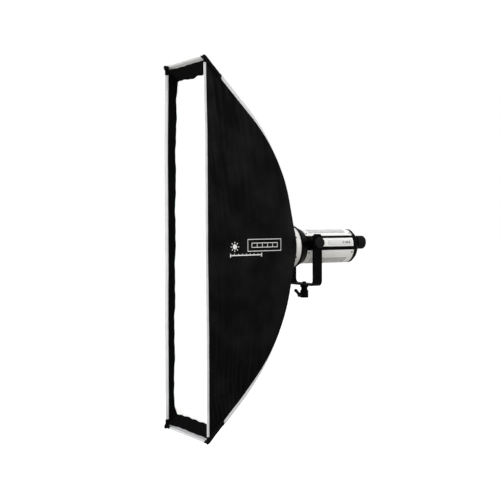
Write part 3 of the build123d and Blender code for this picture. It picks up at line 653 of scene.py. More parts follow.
# ---- rim binding, lips, diffuser ----
BINDING_OUTER = 7.5 * MM
BINDING_INNER = {"left": 9.5 * MM, "right": 9.5 * MM, "top": 6.5 * MM, "bottom": 6.5 * MM}
BINDING_SKIN = 0.9 * MM
BINDING_SHORT = 9 * MM  # how far the binding stops short of a corner
WRAP_SPARE = 1.5 * MM
WRAP_SKIN = BINDING_SKIN + 0.7 * MM
CORNER_WRAP = {-1: 27 * MM, 1: 20 * MM}  # the left corners are wrapped further than the right ones
LIP_END = {"left": 52 * MM, "right": 52 * MM, "top": 64 * MM, "bottom": 56 * MM}
LIP_GAP = 0.8 * MM
DIFFUSER_DEPTH = 40 * MM
DIFFUSER_INSET = 3.4 * MM


def edge_sign(edge):
    return 1 if edge in ("right", "top") else -1


def is_side(edge):
    return edge in ("left", "right")


def rim_line(edge, along):
    """Points along one edge of the rim, with unit vectors outward and along the wall to the rear."""
    sign = edge_sign(edge)
    slope = FRONT_SLOPE * (WIDTH_SHARE if is_side(edge) else 1.0)
    run = 1 / hypot(1, slope)
    if is_side(edge):
        line = place(sign * RIM_HALF_WIDTH, 0, along)
        return line, np.array((sign * run, slope * run, 0)), np.array((-sign * slope * run, run, 0))
    line = place(along, 0, sign * RIM_HALF_HEIGHT)
    return line, np.array((0, slope * run, sign * run)), np.array((0, run, -sign * slope * run))


def rim_tape(name, edge, start, end, spare, skin, material, slot):
    """Tape folded over a stretch of the rim, proud of the cloth on both faces."""
    along = np.linspace(start, end, max(8, int((end - start) / (4.5 * MM))))
    line, outward, rearward = rim_line(edge, along)
    face = [(1.0, 0.25), (0.93, 1.0), (0.6, 1.15), (0.2, 1.0), (0.0, 0.9)]
    outer, inner = BINDING_OUTER + spare, BINDING_INNER[edge] + spare
    profile = [(outer * back, skin * lift) for back, lift in face]
    profile += [(-skin, skin * 0.45), (-skin * 1.2, -CLOTH_SKIN / 2), (-skin, -CLOTH_SKIN - skin * 0.45)]
    profile += [(inner * back, -CLOTH_SKIN - skin * lift) for back, lift in reversed(face)]
    back, lift = np.array(profile).T
    wobble = np.array([0.5 * MM * noise.noise(Vector((a * 14, 3.1, 0.7))) for a in along])
    spread = back + np.where(back > BINDING_OUTER / 2, wobble[:, None], 0.0)
    points = line[:, None] + spread[..., None] * rearward + lift[:, None] * outward
    uv = joined(along[:, None], np.arange(len(profile)) * 1.8 * MM)
    return grid_piece(name, settle(points), [material], slot, uv, flip=edge in ("right", "bottom"))


def binding_stitches(edge, along):
    """The two seams that hold the binding, one on each face of the wall."""
    line, outward, rearward = rim_line(edge, along)
    rows = []
    inner_lift = -CLOTH_SKIN - BINDING_SKIN
    faces = (("outer", BINDING_SKIN, 1, BINDING_OUTER), ("inner", inner_lift, -1, BINDING_INNER[edge]))
    for face, lift, sign, width in faces:
        path = settle(line + rearward * (width - 1.8 * MM) + outward * lift)
        normals = np.tile(outward * sign, (len(along), 1))
        rows.append(stitches(f"binding_{edge}_{face}_stitches", path, normals, GREY_THREAD, "silver_tape"))
    return rows


def rim_trim(edge):
    """Silver binding along one edge, between the black wraps of its two corners."""
    reach = RIM_HALF_HEIGHT if is_side(edge) else RIM_HALF_WIDTH
    end = reach - BINDING_SHORT
    binding = rim_tape(f"rim_binding_{edge}_tape", edge, -end, end, 0.0, BINDING_SKIN, SILVER_TAPE,
                       "silver_tape")
    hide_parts(f"rim_binding_{edge}")
    wraps = [CORNER_WRAP[edge_sign(edge)] if is_side(edge) else CORNER_WRAP[sign] for sign in (-1, 1)]
    along = np.linspace(-reach + wraps[0], reach - wraps[1], 260)
    pieces = [binding] + binding_stitches(edge, along)
    for end, sign, wrap in (("low", -1, wraps[0]), ("high", 1, wraps[1])):
        limits = sorted((sign * (reach - wrap), sign * (reach - 1 * MM)))
        pieces.append(rim_tape(f"corner_wrap_{edge}_{end}", edge, *limits, WRAP_SPARE, WRAP_SKIN, NYLON,
                               "black_fabric"))
    return pieces


def lip_strip(edge):
    """Pile tape sewn inside the rim, in front of the diffuser."""
    sign = edge_sign(edge)
    share = np.linspace(-1, 1, 280 if is_side(edge) else 80)[:, None]
    start = BINDING_INNER[edge] + 0.2 * MM
    depth = np.linspace(start, LIP_END[edge], 24)[None, :]
    free = smooth(depth, start, start + 12 * MM)
    lift = -CLOTH_SKIN - LIP_GAP - free * (0.5 * MM + 0.2 * MM * np.sin(share * 17 + depth * 90))
    if is_side(edge):
        along = share * (wall_half(depth, False) - 0.8 * MM)
        points = on_side_wall(sign, depth, along, lift)
    else:
        along = share * (wall_half(depth, True) - 0.6 * MM)
        points = on_end_wall(sign, depth, along, lift)
    piece = grid_piece(f"velcro_lip_{edge}_tape", points, [LOOP_TAPE], uv=joined(along, depth),
                       flip=edge in ("right", "bottom"))
    thicken(piece, 0.8 * MM)
    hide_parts(f"velcro_lip_{edge}")
    return piece


def diffuser_depth(x, rise):
    """Depth of the diffuser behind the rim: deeper at the top, with slack along its edges."""
    tall = rise / RIM_HALF_HEIGHT
    base = 33.5 * MM + 6.0 * MM * tall
    ends = 1.0 * MM * smooth(tall, 0.86, 0.95) + 12.0 * MM * smooth(-tall, 0.86, 0.95)
    billow = -3.5 * MM * np.cos(np.clip(x / 0.15, -1, 1) * pi / 2) * fall(np.abs(tall), 0.7, 0.95)
    near_side = smooth(np.abs(x), 0.10, 0.142)
    wave = np.sin(rise * 33.0 + 0.6) + 0.6 * np.sin(rise * 71.0 + 1.9) + 0.35 * np.sin(rise * 150.0)
    tuck = 4.0 * MM * bump_at(x, -0.025, 0.020) + 3.0 * MM * smooth(-x, 0.115, 0.14)
    gather = 0.9 * MM * np.sin(x * 118.0 + 2.0) * smooth(np.abs(tall), 0.80, 0.93)
    return base + ends + billow + wave * near_side * 1.1 * MM + tuck * smooth(tall, 0.80, 0.95) + gather


def diffuser_sheet():
    """Front sheet of diffusion cloth, cut to the opening behind the lips."""
    tall = np.linspace(-1, 1, 300)[:, None]
    wide = np.linspace(-1, 1, 84)[None, :]
    x = wide * wall_half(DIFFUSER_DEPTH, True, DIFFUSER_INSET)
    rise = tall * wall_half(DIFFUSER_DEPTH, False, DIFFUSER_INSET)
    depth = diffuser_depth(x, rise)
    half_width = wall_half(depth, True, DIFFUSER_INSET - side_relief(depth, rise))
    half_height = wall_half(depth, False, DIFFUSER_INSET - end_relief(depth, x))
    points = settle(place(wide * half_width, depth, tall * half_height))
    sheet = grid_piece("front_diffuser_sheet", points, [DIFFUSER], "diffuser_cloth", joined(x, rise))
    thicken(sheet, 0.5 * MM)
    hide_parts("front_diffuser")


# ---- corner pockets, rods and piping ----
QUARTERS = {"upper_right": (1, 1), "upper_left": (-1, 1), "lower_right": (1, -1), "lower_left": (-1, -1)}
POCKET_LENGTH = 75 * MM
POCKET_RADIUS = 8.8 * MM
POCKET_INSET = 2.5 * MM
POCKET_SETBACK = 7.0 * MM
NOSE_REACH = 1.8  # length of the closed nose, in radii
NOSE_FRONT = {1: -0.5 * MM, -1: 6.0 * MM}  # how far it may stand in front of the rim, by x side
NOSE_PRESSED = 0.9  # share of what stands further out that is pressed back
HEM = 8 * MM
SLEEVE_WALL = 2.0 * MM  # how far the sleeve's inner face may stand inside the shell
ROD_RADIUS = 3 * MM
ROD_INSET = 8 * MM
ROD_REAR = 354 * MM
ROD_FRONT = 14 * MM
ROD_OUTSIDE = -1 * MM  # inset of the rod's front end, in its pocket outside the shell
TIP_RINGS = ((4.2 * MM, 0.05 * MM), (4.2 * MM, 1 * MM), (2.6 * MM, 5 * MM))  # radius, distance ahead
PIPING_START = 62 * MM
PIPING_END = 290 * MM
PIPING_HEIGHT = 8.4 * MM
PIPING_LEAST = 0.7 * MM


def mirror_to(points, quarter):
    """Carry points of the upper right corner, given from the optical axis, to another corner."""
    side, level = QUARTERS[quarter]
    return points * np.array([side, 1, level]) + np.array([0, 0, AXIS_Z])


def to_quarter(points, quarter):
    """The same for sewn pieces, which settle with the shell."""
    return settle(mirror_to(points, quarter))


def is_mirrored(quarter):
    side, level = QUARTERS[quarter]
    return side * level < 0


def corner_seam(depths, inset=0.0):
    """Points of the upper right corner seam, relative to the optical axis."""
    return joined(wall_half(depths, True, inset), RIM_Y + depths, wall_half(depths, False, inset))


def ring_vectors(count, side, up, closed=False):
    """Unit vectors round a path; closed repeats the first one at the end."""
    turns = np.linspace(0, 2 * pi, count, endpoint=closed)[:, None]
    return side * np.cos(turns) + up * np.sin(turns)


def pocket_stations():
    """Distance along the sleeve and its radius there: closed nose, straight body, rolled hem."""
    turns = np.linspace(0.05, pi / 2, 18)
    nose = [(-NOSE_REACH * POCKET_RADIUS * cos(a), POCKET_RADIUS * sin(a) ** 1.1) for a in turns]
    hem = POCKET_LENGTH - HEM
    body = [(s, POCKET_RADIUS) for s in np.linspace(2 * MM, hem - 1 * MM, 30)]
    rolled = [(hem, 0.0), (hem + 0.6 * MM, 1.0 * MM), (hem + 3 * MM, 1.2 * MM), (hem + 6.5 * MM, 1.1 * MM),
              (POCKET_LENGTH, 0.4 * MM), (POCKET_LENGTH - 1.5 * MM, -2.5 * MM)]
    return nose + body + [(s, POCKET_RADIUS + extra) for s, extra in rolled]


def keep_outside(points):
    """Press what reaches into the box out to its corner, since the sleeve is sewn on from outside."""
    depth = points[..., 1] - RIM_Y
    spare_x = wall_half(depth, True) - SLEEVE_WALL - points[..., 0]
    spare_z = wall_half(depth, False) - SLEEVE_WALL / STEEP - points[..., 2]
    push = np.clip(np.minimum(spare_x, spare_z), 0, None) * smooth(depth, -2 * MM, 6 * MM)
    points[..., 0] += push
    points[..., 2] += push


def corner_pocket(quarter):
    """Rounded nylon sleeve over a rod tip."""
    side, level = QUARTERS[quarter]
    seam = corner_seam(np.array([0, 0.05, 0.1]), POCKET_INSET)
    direction = unit(seam[2] - seam[0])
    tip = seam[0] + direction * POCKET_SETBACK
    _, sides, ups = frames_along(np.array([tip, tip + direction * 0.05, tip + direction * 0.1]))
    turns = np.linspace(0, 2 * pi, 40, endpoint=False)
    outward = ring_vectors(40, sides[0], ups[0])
    stations = pocket_stations()
    rings = []
    for s, radius in stations:
        grain = [noise.noise(Vector((s * 90, cos(a) * 2, sin(a) * 2 + len(quarter)))) for a in turns]
        crush = 1 + 0.05 * np.sin(2 * turns + s * 40) * smooth(s, 0.0, 30 * MM)
        reach = radius * crush + 0.35 * MM * np.array(grain) * min(1.0, radius / POCKET_RADIUS)
        rings.append(tip + direction * s + outward * reach[:, None])
    points = np.array(rings)
    points[..., 1] += NOSE_PRESSED * np.clip(RIM_Y - NOSE_FRONT[side] - points[..., 1], 0, None)
    keep_outside(points)
    uv = joined(np.array(stations)[:, :1], POCKET_RADIUS * turns)
    sleeve = grid_piece(f"corner_pocket_{quarter}_sleeve", to_quarter(points, quarter), [NYLON], uv=uv,
                        closed=True, flip=is_mirrored(quarter))
    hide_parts(f"corner_pocket_{quarter}")
    outward = ring_vectors(80, sides[0], ups[0], closed=True)
    ring = tip + direction * (POCKET_LENGTH - HEM + 1.8 * MM) + outward * (POCKET_RADIUS + 1.15 * MM)
    seam_row = stitches(f"pocket_{quarter}_stitches", to_quarter(ring, quarter),
                        outward * np.array([side, 1, level]), BLACK_THREAD, "black_fabric", 2.4 * MM)
    return [sleeve, seam_row]


def spring_rod(quarter):
    """Rod from its socket along the inside of a corner, and out through the shell into the pocket."""
    depths = np.linspace(ROD_FRONT, ROD_REAR, 110)
    line = corner_seam(depths, mix(ROD_OUTSIDE, ROD_INSET, smooth(depths, 40 * MM, 95 * MM)))
    _, sides, ups = frames_along(line)
    rings = line[:, None] + ROD_RADIUS * ring_vectors(16, sides[:, None], ups[:, None])
    ends = [np.repeat(line[k:k + 1, None], 16, axis=1) for k in (0, len(line) - 1)]
    points = np.concatenate([ends[0], rings, ends[1]])
    taut = smooth(points[..., 1:2] - RIM_Y, 0.10, 0.20)
    points = mix(to_quarter(points, quarter), mirror_to(points, quarter), taut)
    rod = grid_piece(f"spring_rod_{quarter}", points, [BLACK_COAT], "rod_steel", closed=True,
                     flip=is_mirrored(quarter))
    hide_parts(f"rod_{quarter}")
    return rod


def rod_end_tips():
    """Plastic tips of the rods, out of sight in their pockets."""
    vertices, faces = [], []
    count = 14
    line = corner_seam(np.array([ROD_FRONT, ROD_FRONT + 10 * MM]), ROD_OUTSIDE)
    along = unit(line[0] - line[1])
    _, sides, ups = frames_along(np.array([line[0], line[0] + along, line[0] + 2 * along]))
    outward = ring_vectors(count, sides[0], ups[0])
    shell = grid_faces(len(TIP_RINGS), count, closed=True)
    shell += [tuple(range(count))[::-1], tuple(range(2 * count, 3 * count))]
    for quarter in QUARTERS:
        base = len(vertices)
        for reach, ahead in TIP_RINGS:
            vertices += list(to_quarter(line[0] + along * ahead + outward * reach, quarter))
        moved = [tuple(base + k for k in face) for face in shell]
        faces += flipped(moved) if is_mirrored(quarter) else moved
    tips = new_piece("rod_end_tips", vertices, faces, [BLACK_PLASTIC], "tip_plastic")
    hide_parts("rod_tips")


def piping(quarter):
    """Silver tape flange standing out of the corner seam behind the pocket, tapering to the rear."""
    depths = np.linspace(PIPING_START, PIPING_END, 120)
    seam = corner_seam(depths)
    tangents = unit(np.gradient(seam, axis=0))
    outward = unit(joined(0 * depths, -tangents[:, 2], tangents[:, 1]))
    across = np.cross(tangents, outward)
    share = ((depths - PIPING_START) / (PIPING_END - PIPING_START))[:, None]
    height = PIPING_HEIGHT * fall(share, 0.35, 1.0) + PIPING_LEAST
    profile = [(-0.15, -0.8), (0.5, -0.75), (0.92, -0.7), (1.0, 0.0), (0.92, 0.7), (0.5, 0.75), (-0.15, 0.8)]
    out, wide = np.array(profile).T
    lean = 0.8 * MM * np.sin(share * 19) * (1 - share) * np.clip(out, 0, None)
    shift = outward[:, None] * (height * out)[..., None] + across[:, None] * (wide * MM + lean)[..., None]
    points = seam[:, None] + shift + np.array([-0.6 * MM, 0, -0.2 * MM])
    uv = joined(depths[:, None] * 1.4, np.arange(len(profile)) * 2.4 * MM)
    return grid_piece(f"edge_piping_{quarter}", to_quarter(points, quarter), [SILVER_TAPE], "silver_tape",
                      uv, flip=is_mirrored(quarter))


# ---- inner baffle and rear collar ----
BAFFLE_HALF_HEIGHT = 330 * MM
BAFFLE_SAG = 5 * MM
TAB_HALF_WIDTH = 8 * MM
CUFF_RADIUS = 62 * MM
CUFF_SQUARENESS = 8  # power of the rounded square where the cuff meets the shell


def baffle_tab(quarter, start, end):
    """A short strap from the baffle's corner to the wall."""
    share = np.linspace(0, 1, 16)[:, None]
    width = np.array([-TAB_HALF_WIDTH, TAB_HALF_WIDTH])[None, :]
    hang = mix(start[1], end[1], share) + 1.5 * MM * np.sin(share * pi) + 0.6 * MM
    strap = joined(start[0] + width, hang, mix(start[2], end[2], share))
    tab = grid_piece(f"baffle_tab_{quarter}", strap, [LOOP_TAPE], uv=joined(share * 0.09, width))
    thicken(tab, 1.0 * MM)
    return tab


def baffle():
    """Second sheet of diffusion cloth, hung by its corners halfway down the box."""
    low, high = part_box("inner_baffle")
    half_width = high.x - 1 * MM
    half_height = BAFFLE_HALF_HEIGHT
    t = np.linspace(-1, 1, 90)[:, None]
    w = np.linspace(-1, 1, 40)[None, :]
    pull = 1 - 0.05 * np.cos(w * pi / 2) * np.abs(t) ** 3
    draw = 1 - 0.09 * np.cos(t * pi / 2) * np.abs(w) ** 3
    depth = low.y - RIM_Y + 1 * MM + BAFFLE_SAG * np.cos(w * pi / 2) * np.cos(t * pi / 2)
    points = place(w * half_width * draw, depth, t * half_height * pull)
    sheet = grid_piece("inner_baffle_sheet", points, [DIFFUSER], "diffuser_cloth",
                       joined(w * half_width, t * half_height))
    thicken(sheet, 0.5 * MM)
    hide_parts("inner_baffle")
    for quarter, (side, level) in QUARTERS.items():
        x = side * (half_width - 22 * MM)
        start = (x, low.y + 1 * MM, AXIS_Z + level * (half_height - 14 * MM))
        end = (x, low.y + 0.5 * MM, AXIS_Z + level * (high.z - AXIS_Z - 1 * MM))
        baffle_tab(quarter, start, end)


def rear_collar():
    """Elastic cuff that closes the shell round the speedring, gathered towards the ring."""
    share = np.linspace(0, 1, 12)[:, None]
    turn = np.linspace(0, 2 * pi, 240, endpoint=False)[None, :]
    across = np.abs(np.cos(turn) / (REAR_HALF_WIDTH - 0.5 * MM)) ** CUFF_SQUARENESS
    upright = np.abs(np.sin(turn) / (REAR_HALF_HEIGHT + 1.5 * MM)) ** CUFF_SQUARENESS
    radius = mix((across + upright) ** (-1 / CUFF_SQUARENESS), CUFF_RADIUS, share)
    gather = 0.55 * MM * np.sin(turn * 46) * np.sin(share * pi) ** 0.6
    depth = BOX_DEPTH - 4.5 * MM + 5.0 * MM * share ** 0.7 + gather
    points = settle(place(radius * np.cos(turn), depth, radius * np.sin(turn)))
    piece = grid_piece("rear_collar_cuff", points, [SHELL_CLOTH],
                       uv=joined(turn * CUFF_RADIUS, share * 12 * MM), closed=True, flip=True)
    thicken(piece, 0.8 * MM)
    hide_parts("rear_collar")
    return piece


# ---- generic print on the near side panel ----
PRINT_LIFT = 0.35 * MM
OUTLINE = 2.0 * MM
SUN = (110 * MM, 8 * MM)
STRIP_FRAME = (160 * MM, 300 * MM, -8 * MM, 32 * MM)
STRIP_LAMP = (176 * MM, 284 * MM, 4 * MM, 20 * MM)
MEASURE = (93 * MM, 216 * MM, -19 * MM)
MEASURE_LINE = 3.2 * MM


def add_print(shape, depths, rises):
    """Add a grid of printed ink that follows the panel to the shape's vertices and faces."""
    vertices, faces = shape
    base = len(vertices)
    vertices += list(on_side_wall(1, depths.ravel(), rises.ravel(), PRINT_LIFT))
    faces += [tuple(base + k for k in face) for face in grid_faces(*depths.shape)]


def print_bar(shape, start, end, width=OUTLINE):
    """A straight bar between two points of the panel, given as depth and rise."""
    length = hypot(end[0] - start[0], end[1] - start[1])
    along = np.linspace(0, 1, max(2, int(length / (4 * MM)) + 1))[None, :]
    aside = np.array([-width / 2, width / 2])[:, None]
    depths = mix(start[0], end[0], along) - aside * (end[1] - start[1]) / length
    rises = mix(start[1], end[1], along) + aside * (end[0] - start[0]) / length
    add_print(shape, depths, rises)


def print_frame(shape, left, right, low, high):
    """An outlined rectangle."""
    edge = OUTLINE / 2
    print_bar(shape, (left, high - edge), (right, high - edge))
    print_bar(shape, (left, low + edge), (right, low + edge))
    print_bar(shape, (left + edge, low + OUTLINE), (left + edge, high - OUTLINE))
    print_bar(shape, (right - edge, low + OUTLINE), (right - edge, high - OUTLINE))


def print_sun(shape, centre, radius):
    """A filled disc with eight rays."""
    turn = np.linspace(0, 2 * pi, 33)[None, :]
    reach = np.array([0.0, 0.5, 1.0])[:, None] * radius
    add_print(shape, centre[0] + reach * np.cos(turn), centre[1] + reach * np.sin(turn))
    for k in range(8):
        ray = Vector((cos(k * pi / 4), sin(k * pi / 4))) * radius
        print_bar(shape, Vector(centre) + ray * 1.4, Vector(centre) + ray * 2.0, 2.6 * MM)


def strip_symbol():
    """A pictogram without lettering: a sun, a strip light lying down, and a measuring line."""
    shape = ([], [])
    print_sun(shape, SUN, 8.0 * MM)
    print_frame(shape, *STRIP_FRAME)
    print_frame(shape, *STRIP_LAMP)
    for depth in np.linspace(STRIP_LAMP[0], STRIP_LAMP[1], 6)[1:-1]:
        print_bar(shape, (depth, STRIP_LAMP[2] + OUTLINE), (depth, STRIP_LAMP[3] - OUTLINE))
    left, right, rise = MEASURE
    print_bar(shape, (left, rise), (right, rise), MEASURE_LINE)
    for depth in (left, right):
        print_bar(shape, (depth, rise - 6 * MM), (depth, rise + 6 * MM), MEASURE_LINE)
    for k in range(1, 8):
        tick = mix(left, right, k / 8)
        print_bar(shape, (tick, rise), (tick, rise + 5 * MM))
    new_piece("side_print", *shape, [INK], "silver_tape")


# ---- light head: perforated shells and labels ----
CELL = 5.2 * MM
HOLE_RADIUS = 2.05 * MM
SHELL_SKIN = 0.8 * MM
RING_STEPS = 3  # points on each side of a cell
PLAIN_FRONT, PLAIN_REAR = 17 * MM, 22 * MM  # casing without holes at either end
UPPER_SHELL = (39.6, 140.4, 52, 128)  # degrees: casing from and to, holes from and to
LOWER_SHELL = (191.4, 348.6, 221, 319)
LABEL_FRONT, LABEL_REAR = RIM_Y + 514 * MM, RIM_Y + 612 * MM
LABEL_LOW, LABEL_HIGH = 5.0, 22.5  # degrees above the axis
LABEL_LIFT = 0.55 * MM
MARK_LIFT = 0.12 * MM
MARK_PLACE = RIM_Y + 576 * MM
SUN_RADIUS = 2.2 * MM
SUN_RAY = ((3.1, -0.5), (5.0, -0.5), (5.0, 0.5), (3.1, 0.5))  # in millimetres from the sun's centre
SQUARE = 5.0 * MM
SQUARE_HALF_HEIGHT = 3.4 * MM
FIRST_SQUARE = 8.5 * MM
SQUARE_PITCH = 7.0 * MM


def on_body(radius, y, angle, side=1):
    """Points on a cylinder round the light's axis, at an angle up from the side."""
    return joined(side * radius * np.cos(angle), y, AXIS_Z + radius * np.sin(angle))


def cell_outline(y0, y1, a0, a1):
    """Points round a cell's border, the same number on each side, so that neighbours match."""
    corners = [(y0, a0), (y1, a0), (y1, a1), (y0, a1)]
    border = []
    for k in range(4):
        start, end = corners[k], corners[(k + 1) % 4]
        for s in range(RING_STEPS):
            border.append((mix(start[0], end[0], s / RING_STEPS), mix(start[1], end[1], s / RING_STEPS)))
    return border


def hole_outline(border):
    """Points round the hole in the middle of a cell, each straight inside a border point."""
    middle = (np.min(border, axis=0) + np.max(border, axis=0)) / 2
    outline = []
    for y, a in border:
        turn = atan2(radians(a - middle[1]) * BODY_RADIUS, y - middle[0])
        outline.append((middle[0] + HOLE_RADIUS * cos(turn),
                        middle[1] + degrees(HOLE_RADIUS * sin(turn) / BODY_RADIUS)))
    return outline


def perforated_shell(name, angle_from, angle_to, hole_from, hole_to):
    """A rolled casing of sheet metal with square rows of round holes."""
    front, rear = SHELL_LOW.y + 0.3 * MM, SHELL_HIGH.y - 0.3 * MM
    hole_front, hole_rear = front + PLAIN_FRONT, rear - PLAIN_REAR
    columns = int((hole_rear - hole_front) / CELL)
    rows = int(radians(hole_to - hole_from) * BODY_RADIUS / CELL)
    margin = max(1, int(radians(hole_from - angle_from) * BODY_RADIUS / CELL))
    ys = [front, mix(front, hole_front, 0.5), *np.linspace(hole_front, hole_rear, columns + 1)]
    ys += [mix(hole_rear, rear, 0.5), rear]
    angles = [*np.linspace(angle_from, hole_from, margin, endpoint=False)]
    angles += [*np.linspace(hole_from, hole_to, rows + 1)]
    angles += [*np.linspace(hole_to, angle_to, margin + 1)][1:]
    vertices, faces, keys = [], [], {}

    def vertex(y, a):
        key = (round(y * 1e6), round(a * 1e4))
        if key not in keys:
            keys[key] = len(vertices)
            vertices.append(on_body(BODY_RADIUS, y, radians(a)))
        return keys[key]

    for j in range(len(angles) - 1):
        for i in range(len(ys) - 1):
            border = cell_outline(ys[i], ys[i + 1], angles[j], angles[j + 1])
            outer = [vertex(*point) for point in border]
            if not (margin <= j < margin + rows and 2 <= i < len(ys) - 3):
                faces.append(tuple(outer))
                continue
            inner = [vertex(*point) for point in hole_outline(border)]
            for k in range(len(outer)):
                m = (k + 1) % len(outer)
                faces.append((outer[k], outer[m], inner[m], inner[k]))
    piece = new_piece(name + "_casing", vertices, faces, [WHITE_COAT], "white_shell", body="light_head")
    thicken(piece, SHELL_SKIN)
    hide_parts(name)


def side_label(side, name):
    """Pale inset label on the side strip, with a plain sun mark."""
    radius = BODY_RADIUS + LABEL_LIFT
    angles = np.radians(np.linspace(LABEL_LOW, LABEL_HIGH, 14))[:, None]
    points = on_body(radius, np.linspace(LABEL_FRONT, LABEL_REAR, 30), angles, side)
    label = grid_piece(name, points, [LABEL_GREY], "white_shell", flip=side < 0, body="light_head")
    thicken(label, 0.4 * MM)
    add_label_mark(name, side, radius + MARK_LIFT)


def add_label_mark(name, side, radius):
    """A plain sun followed by three squares, in dark print."""
    turns = np.linspace(0, 2 * pi, 20, endpoint=False)
    outlines = [[(SUN_RADIUS * cos(t), SUN_RADIUS * sin(t)) for t in turns]]
    for t in np.linspace(0, 2 * pi, 8, endpoint=False):
        ray = [(MM * (r * cos(t) - w * sin(t)), MM * (r * sin(t) + w * cos(t))) for r, w in SUN_RAY]
        outlines.append(ray)
    half = SQUARE_HALF_HEIGHT
    for k in range(3):
        left = FIRST_SQUARE + SQUARE_PITCH * k
        outlines.append([(left, -half), (left + SQUARE, -half), (left + SQUARE, half), (left, half)])
    marks, faces = [], []
    middle = radians((LABEL_LOW + LABEL_HIGH) / 2)
    for outline in outlines:
        faces.append(tuple(range(len(marks), len(marks) + len(outline))))
        marks += [on_body(radius, MARK_PLACE + dy, middle + dz / radius, side) for dy, dz in outline]
    new_piece(name + "_mark", marks, flipped(faces) if side < 0 else faces, [LABEL_DARK], "white_shell",
              body="light_head")


# ---- build everything ----
def build_softbox():
    for side, name in ((1, "side_panel_right"), (-1, "side_panel_left")):
        side_panel(side, name)
    for level, name in ((1, "top_panel"), (-1, "bottom_panel")):
        end_panel(level, name)
    trims = {edge: rim_trim(edge) + [lip_strip(edge)] for edge in ("left", "right", "top", "bottom")}
    pockets = sum([corner_pocket(quarter) for quarter in QUARTERS], [])
    pipes = [piping(quarter) for quarter in QUARTERS]
    rods = [spring_rod(quarter) for quarter in QUARTERS]
    rod_end_tips()
    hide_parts("edge_piping")
    trims["right"] += pockets + pipes
    trims["top"].append(rear_collar())
    diffuser_sheet()
    baffle()
    strip_symbol()


def build_light_head():
    perforated_shell("upper_shell", *UPPER_SHELL)
    perforated_shell("lower_shell", *LOWER_SHELL)
    side_label(1, "side_label_right")
    side_label(-1, "side_label_left")


CAD_FINISHES = (
    (BLACK_COAT, "mount_collar neck_cone side_rail_left side_rail_right rear_cap yoke stand_receiver"),
    (BLACK_PLASTIC, "rotation_lock_knob mount_latch shell_screws menu_button power_switch power_inlet"),
    (BLACK_PLASTIC, "fan_frame fan_rotor tilt_knob lock_lever"),
    (DARK_STEEL, "retaining_ring speedring_screws pivot_bolt receiver_bolt"),
    (WHITE_COAT, "side_strip_left side_strip_right"),
    (SILVER_COAT, "speedring"), (ADAPTER_METAL, "adapter_ring"), (DISPLAY, "display"),
    (DIAL_RUBBER, "control_dial"), (PHOSPHOR, "led_array"), (GLASS, "led_cover_glass"),
    (SINK_METAL, "heat_sink"), (LAMINATE, "driver_board"), (GREY_NYLON, "pivot_washers"),
)


def finish_cad_parts():
    for material, names in CAD_FINISHES:
        for name in names.split():
            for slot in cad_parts[name].material_slots:
                slot.material = material


# ---- camera, light and floor ----
CAMERA_AZIMUTH, CAMERA_ELEVATION, CAMERA_ROLL = radians(60.265), radians(1.869), radians(0.194)
CAMERA_DISTANCE = 3.535
CAMERA_SIDESTEP = 0.0782
CAMERA_DROP = 0.0060
LENS = 77.76
SENSOR = 36.0
FLOOR_SIZE = 30.0
FLOOR_DROP = 0.62


def link(item):
    bpy.context.scene.collection.objects.link(item)


def add_camera():
    flat = cos(CAMERA_ELEVATION)
    back = Vector((sin(CAMERA_AZIMUTH) * flat, -cos(CAMERA_AZIMUTH) * flat, sin(CAMERA_ELEVATION)))
    right = Vector((cos(CAMERA_AZIMUTH), sin(CAMERA_AZIMUTH), 0))
    up = back.cross(right)
    turned = right * cos(CAMERA_ROLL) - up * sin(CAMERA_ROLL)
    up = right * sin(CAMERA_ROLL) + up * cos(CAMERA_ROLL)
    data = bpy.data.cameras.new("camera")
    data.sensor_width = SENSOR
    data.lens = LENS
    camera = bpy.data.objects.new("camera", data)
    aim = Vector(place(0, 0.150, 0))
    spot = aim + back * CAMERA_DISTANCE + turned * CAMERA_SIDESTEP - up * CAMERA_DROP
    axes = Matrix((turned, up, back)).transposed().to_4x4()
    camera.matrix_world = Matrix.Translation(spot) @ axes
    link(camera)
    bpy.context.scene.camera = camera


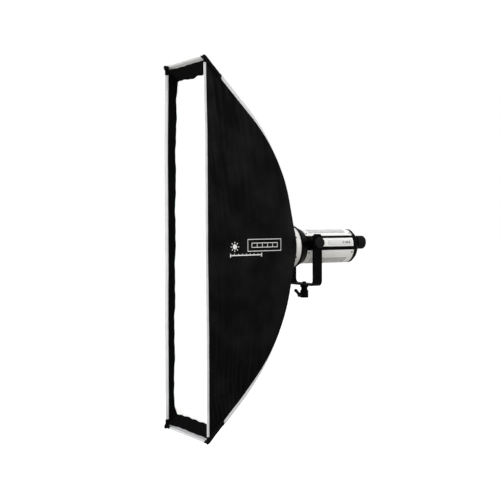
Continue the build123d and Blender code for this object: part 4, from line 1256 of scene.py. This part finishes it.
def add_area_light(name, spot, aim, size, power):
    data = bpy.data.lights.new(name, "AREA")
    data.shape = "RECTANGLE"
    data.size, data.size_y = size
    data.energy = power
    light = bpy.data.objects.new(name, data)
    light.location = spot
    light.rotation_mode = "QUATERNION"
    light.rotation_quaternion = (Vector(aim) - Vector(spot)).to_track_quat("-Z", "Y")
    link(light)


def add_floor():
    look = Look("pale_floor", grey(0.93), 0.9, Emission_Strength=0.55, Emission_Color=(1, 1, 1, 1))
    look.roughness(look.noise(3.0), 0.85, 0.95)
    size = FLOOR_SIZE
    corners = [(-size, -size), (size, -size), (size, size), (-size, size)]
    mesh = bpy.data.meshes.new("floor")
    mesh.from_pydata([(x, y, CAD_BOX[0].z - FLOOR_DROP) for x, y in corners], [], [(0, 1, 2, 3)])
    mesh.materials.append(look.material)
    floor = bpy.data.objects.new("floor", mesh)
    floor.visible_diffuse = False
    floor.visible_glossy = False
    link(floor)


def add_world():
    """White to the camera; to the object, a bright ceiling that falls off below the horizon."""
    world = bpy.data.worlds.new("studio")
    bpy.context.scene.world = world
    world.use_nodes = True
    nodes = Nodes(world.node_tree, "Generated")
    height = nodes.add("SeparateXYZ", Vector=nodes.vector).outputs["Z"]
    factor = nodes.rescale(height, -1.0, 1.0, 0.0, 1.0)
    sky = nodes.ramp(factor, (0.25, 0.75), ((0.60, 0.58, 0.545), (0.62, 0.62, 0.63)))
    chooser = nodes.add("Mix")
    chooser.data_type = "RGBA"
    nodes.put(chooser.inputs["Factor"], nodes.add("LightPath").outputs["Is Camera Ray"])
    nodes.put(chooser.inputs[6], sky)
    nodes.put(chooser.inputs[7], (1, 1, 1, 1))
    nodes.put(nodes.tree.nodes["Background"].inputs["Color"], chooser.outputs[2])


def add_studio():
    add_camera()
    add_floor()
    add_world()
    add_area_light("overhead_softbox", (0.9, -0.4, 3.0), place(0, 0.2, 0), (2.4, 2.4), 60)
    add_area_light("front_fill", (0.8, -3.2, 0.3), place(0, 0, 0), (2.0, 2.4), 40)
    add_area_light("side_fill", (3.2, 0.9, 1.6), place(0, 0.4, 0), (1.2, 2.2), 14)
    bpy.context.scene.view_settings.view_transform = "Standard"


build_softbox()
build_light_head()
finish_cad_parts()
add_studio()
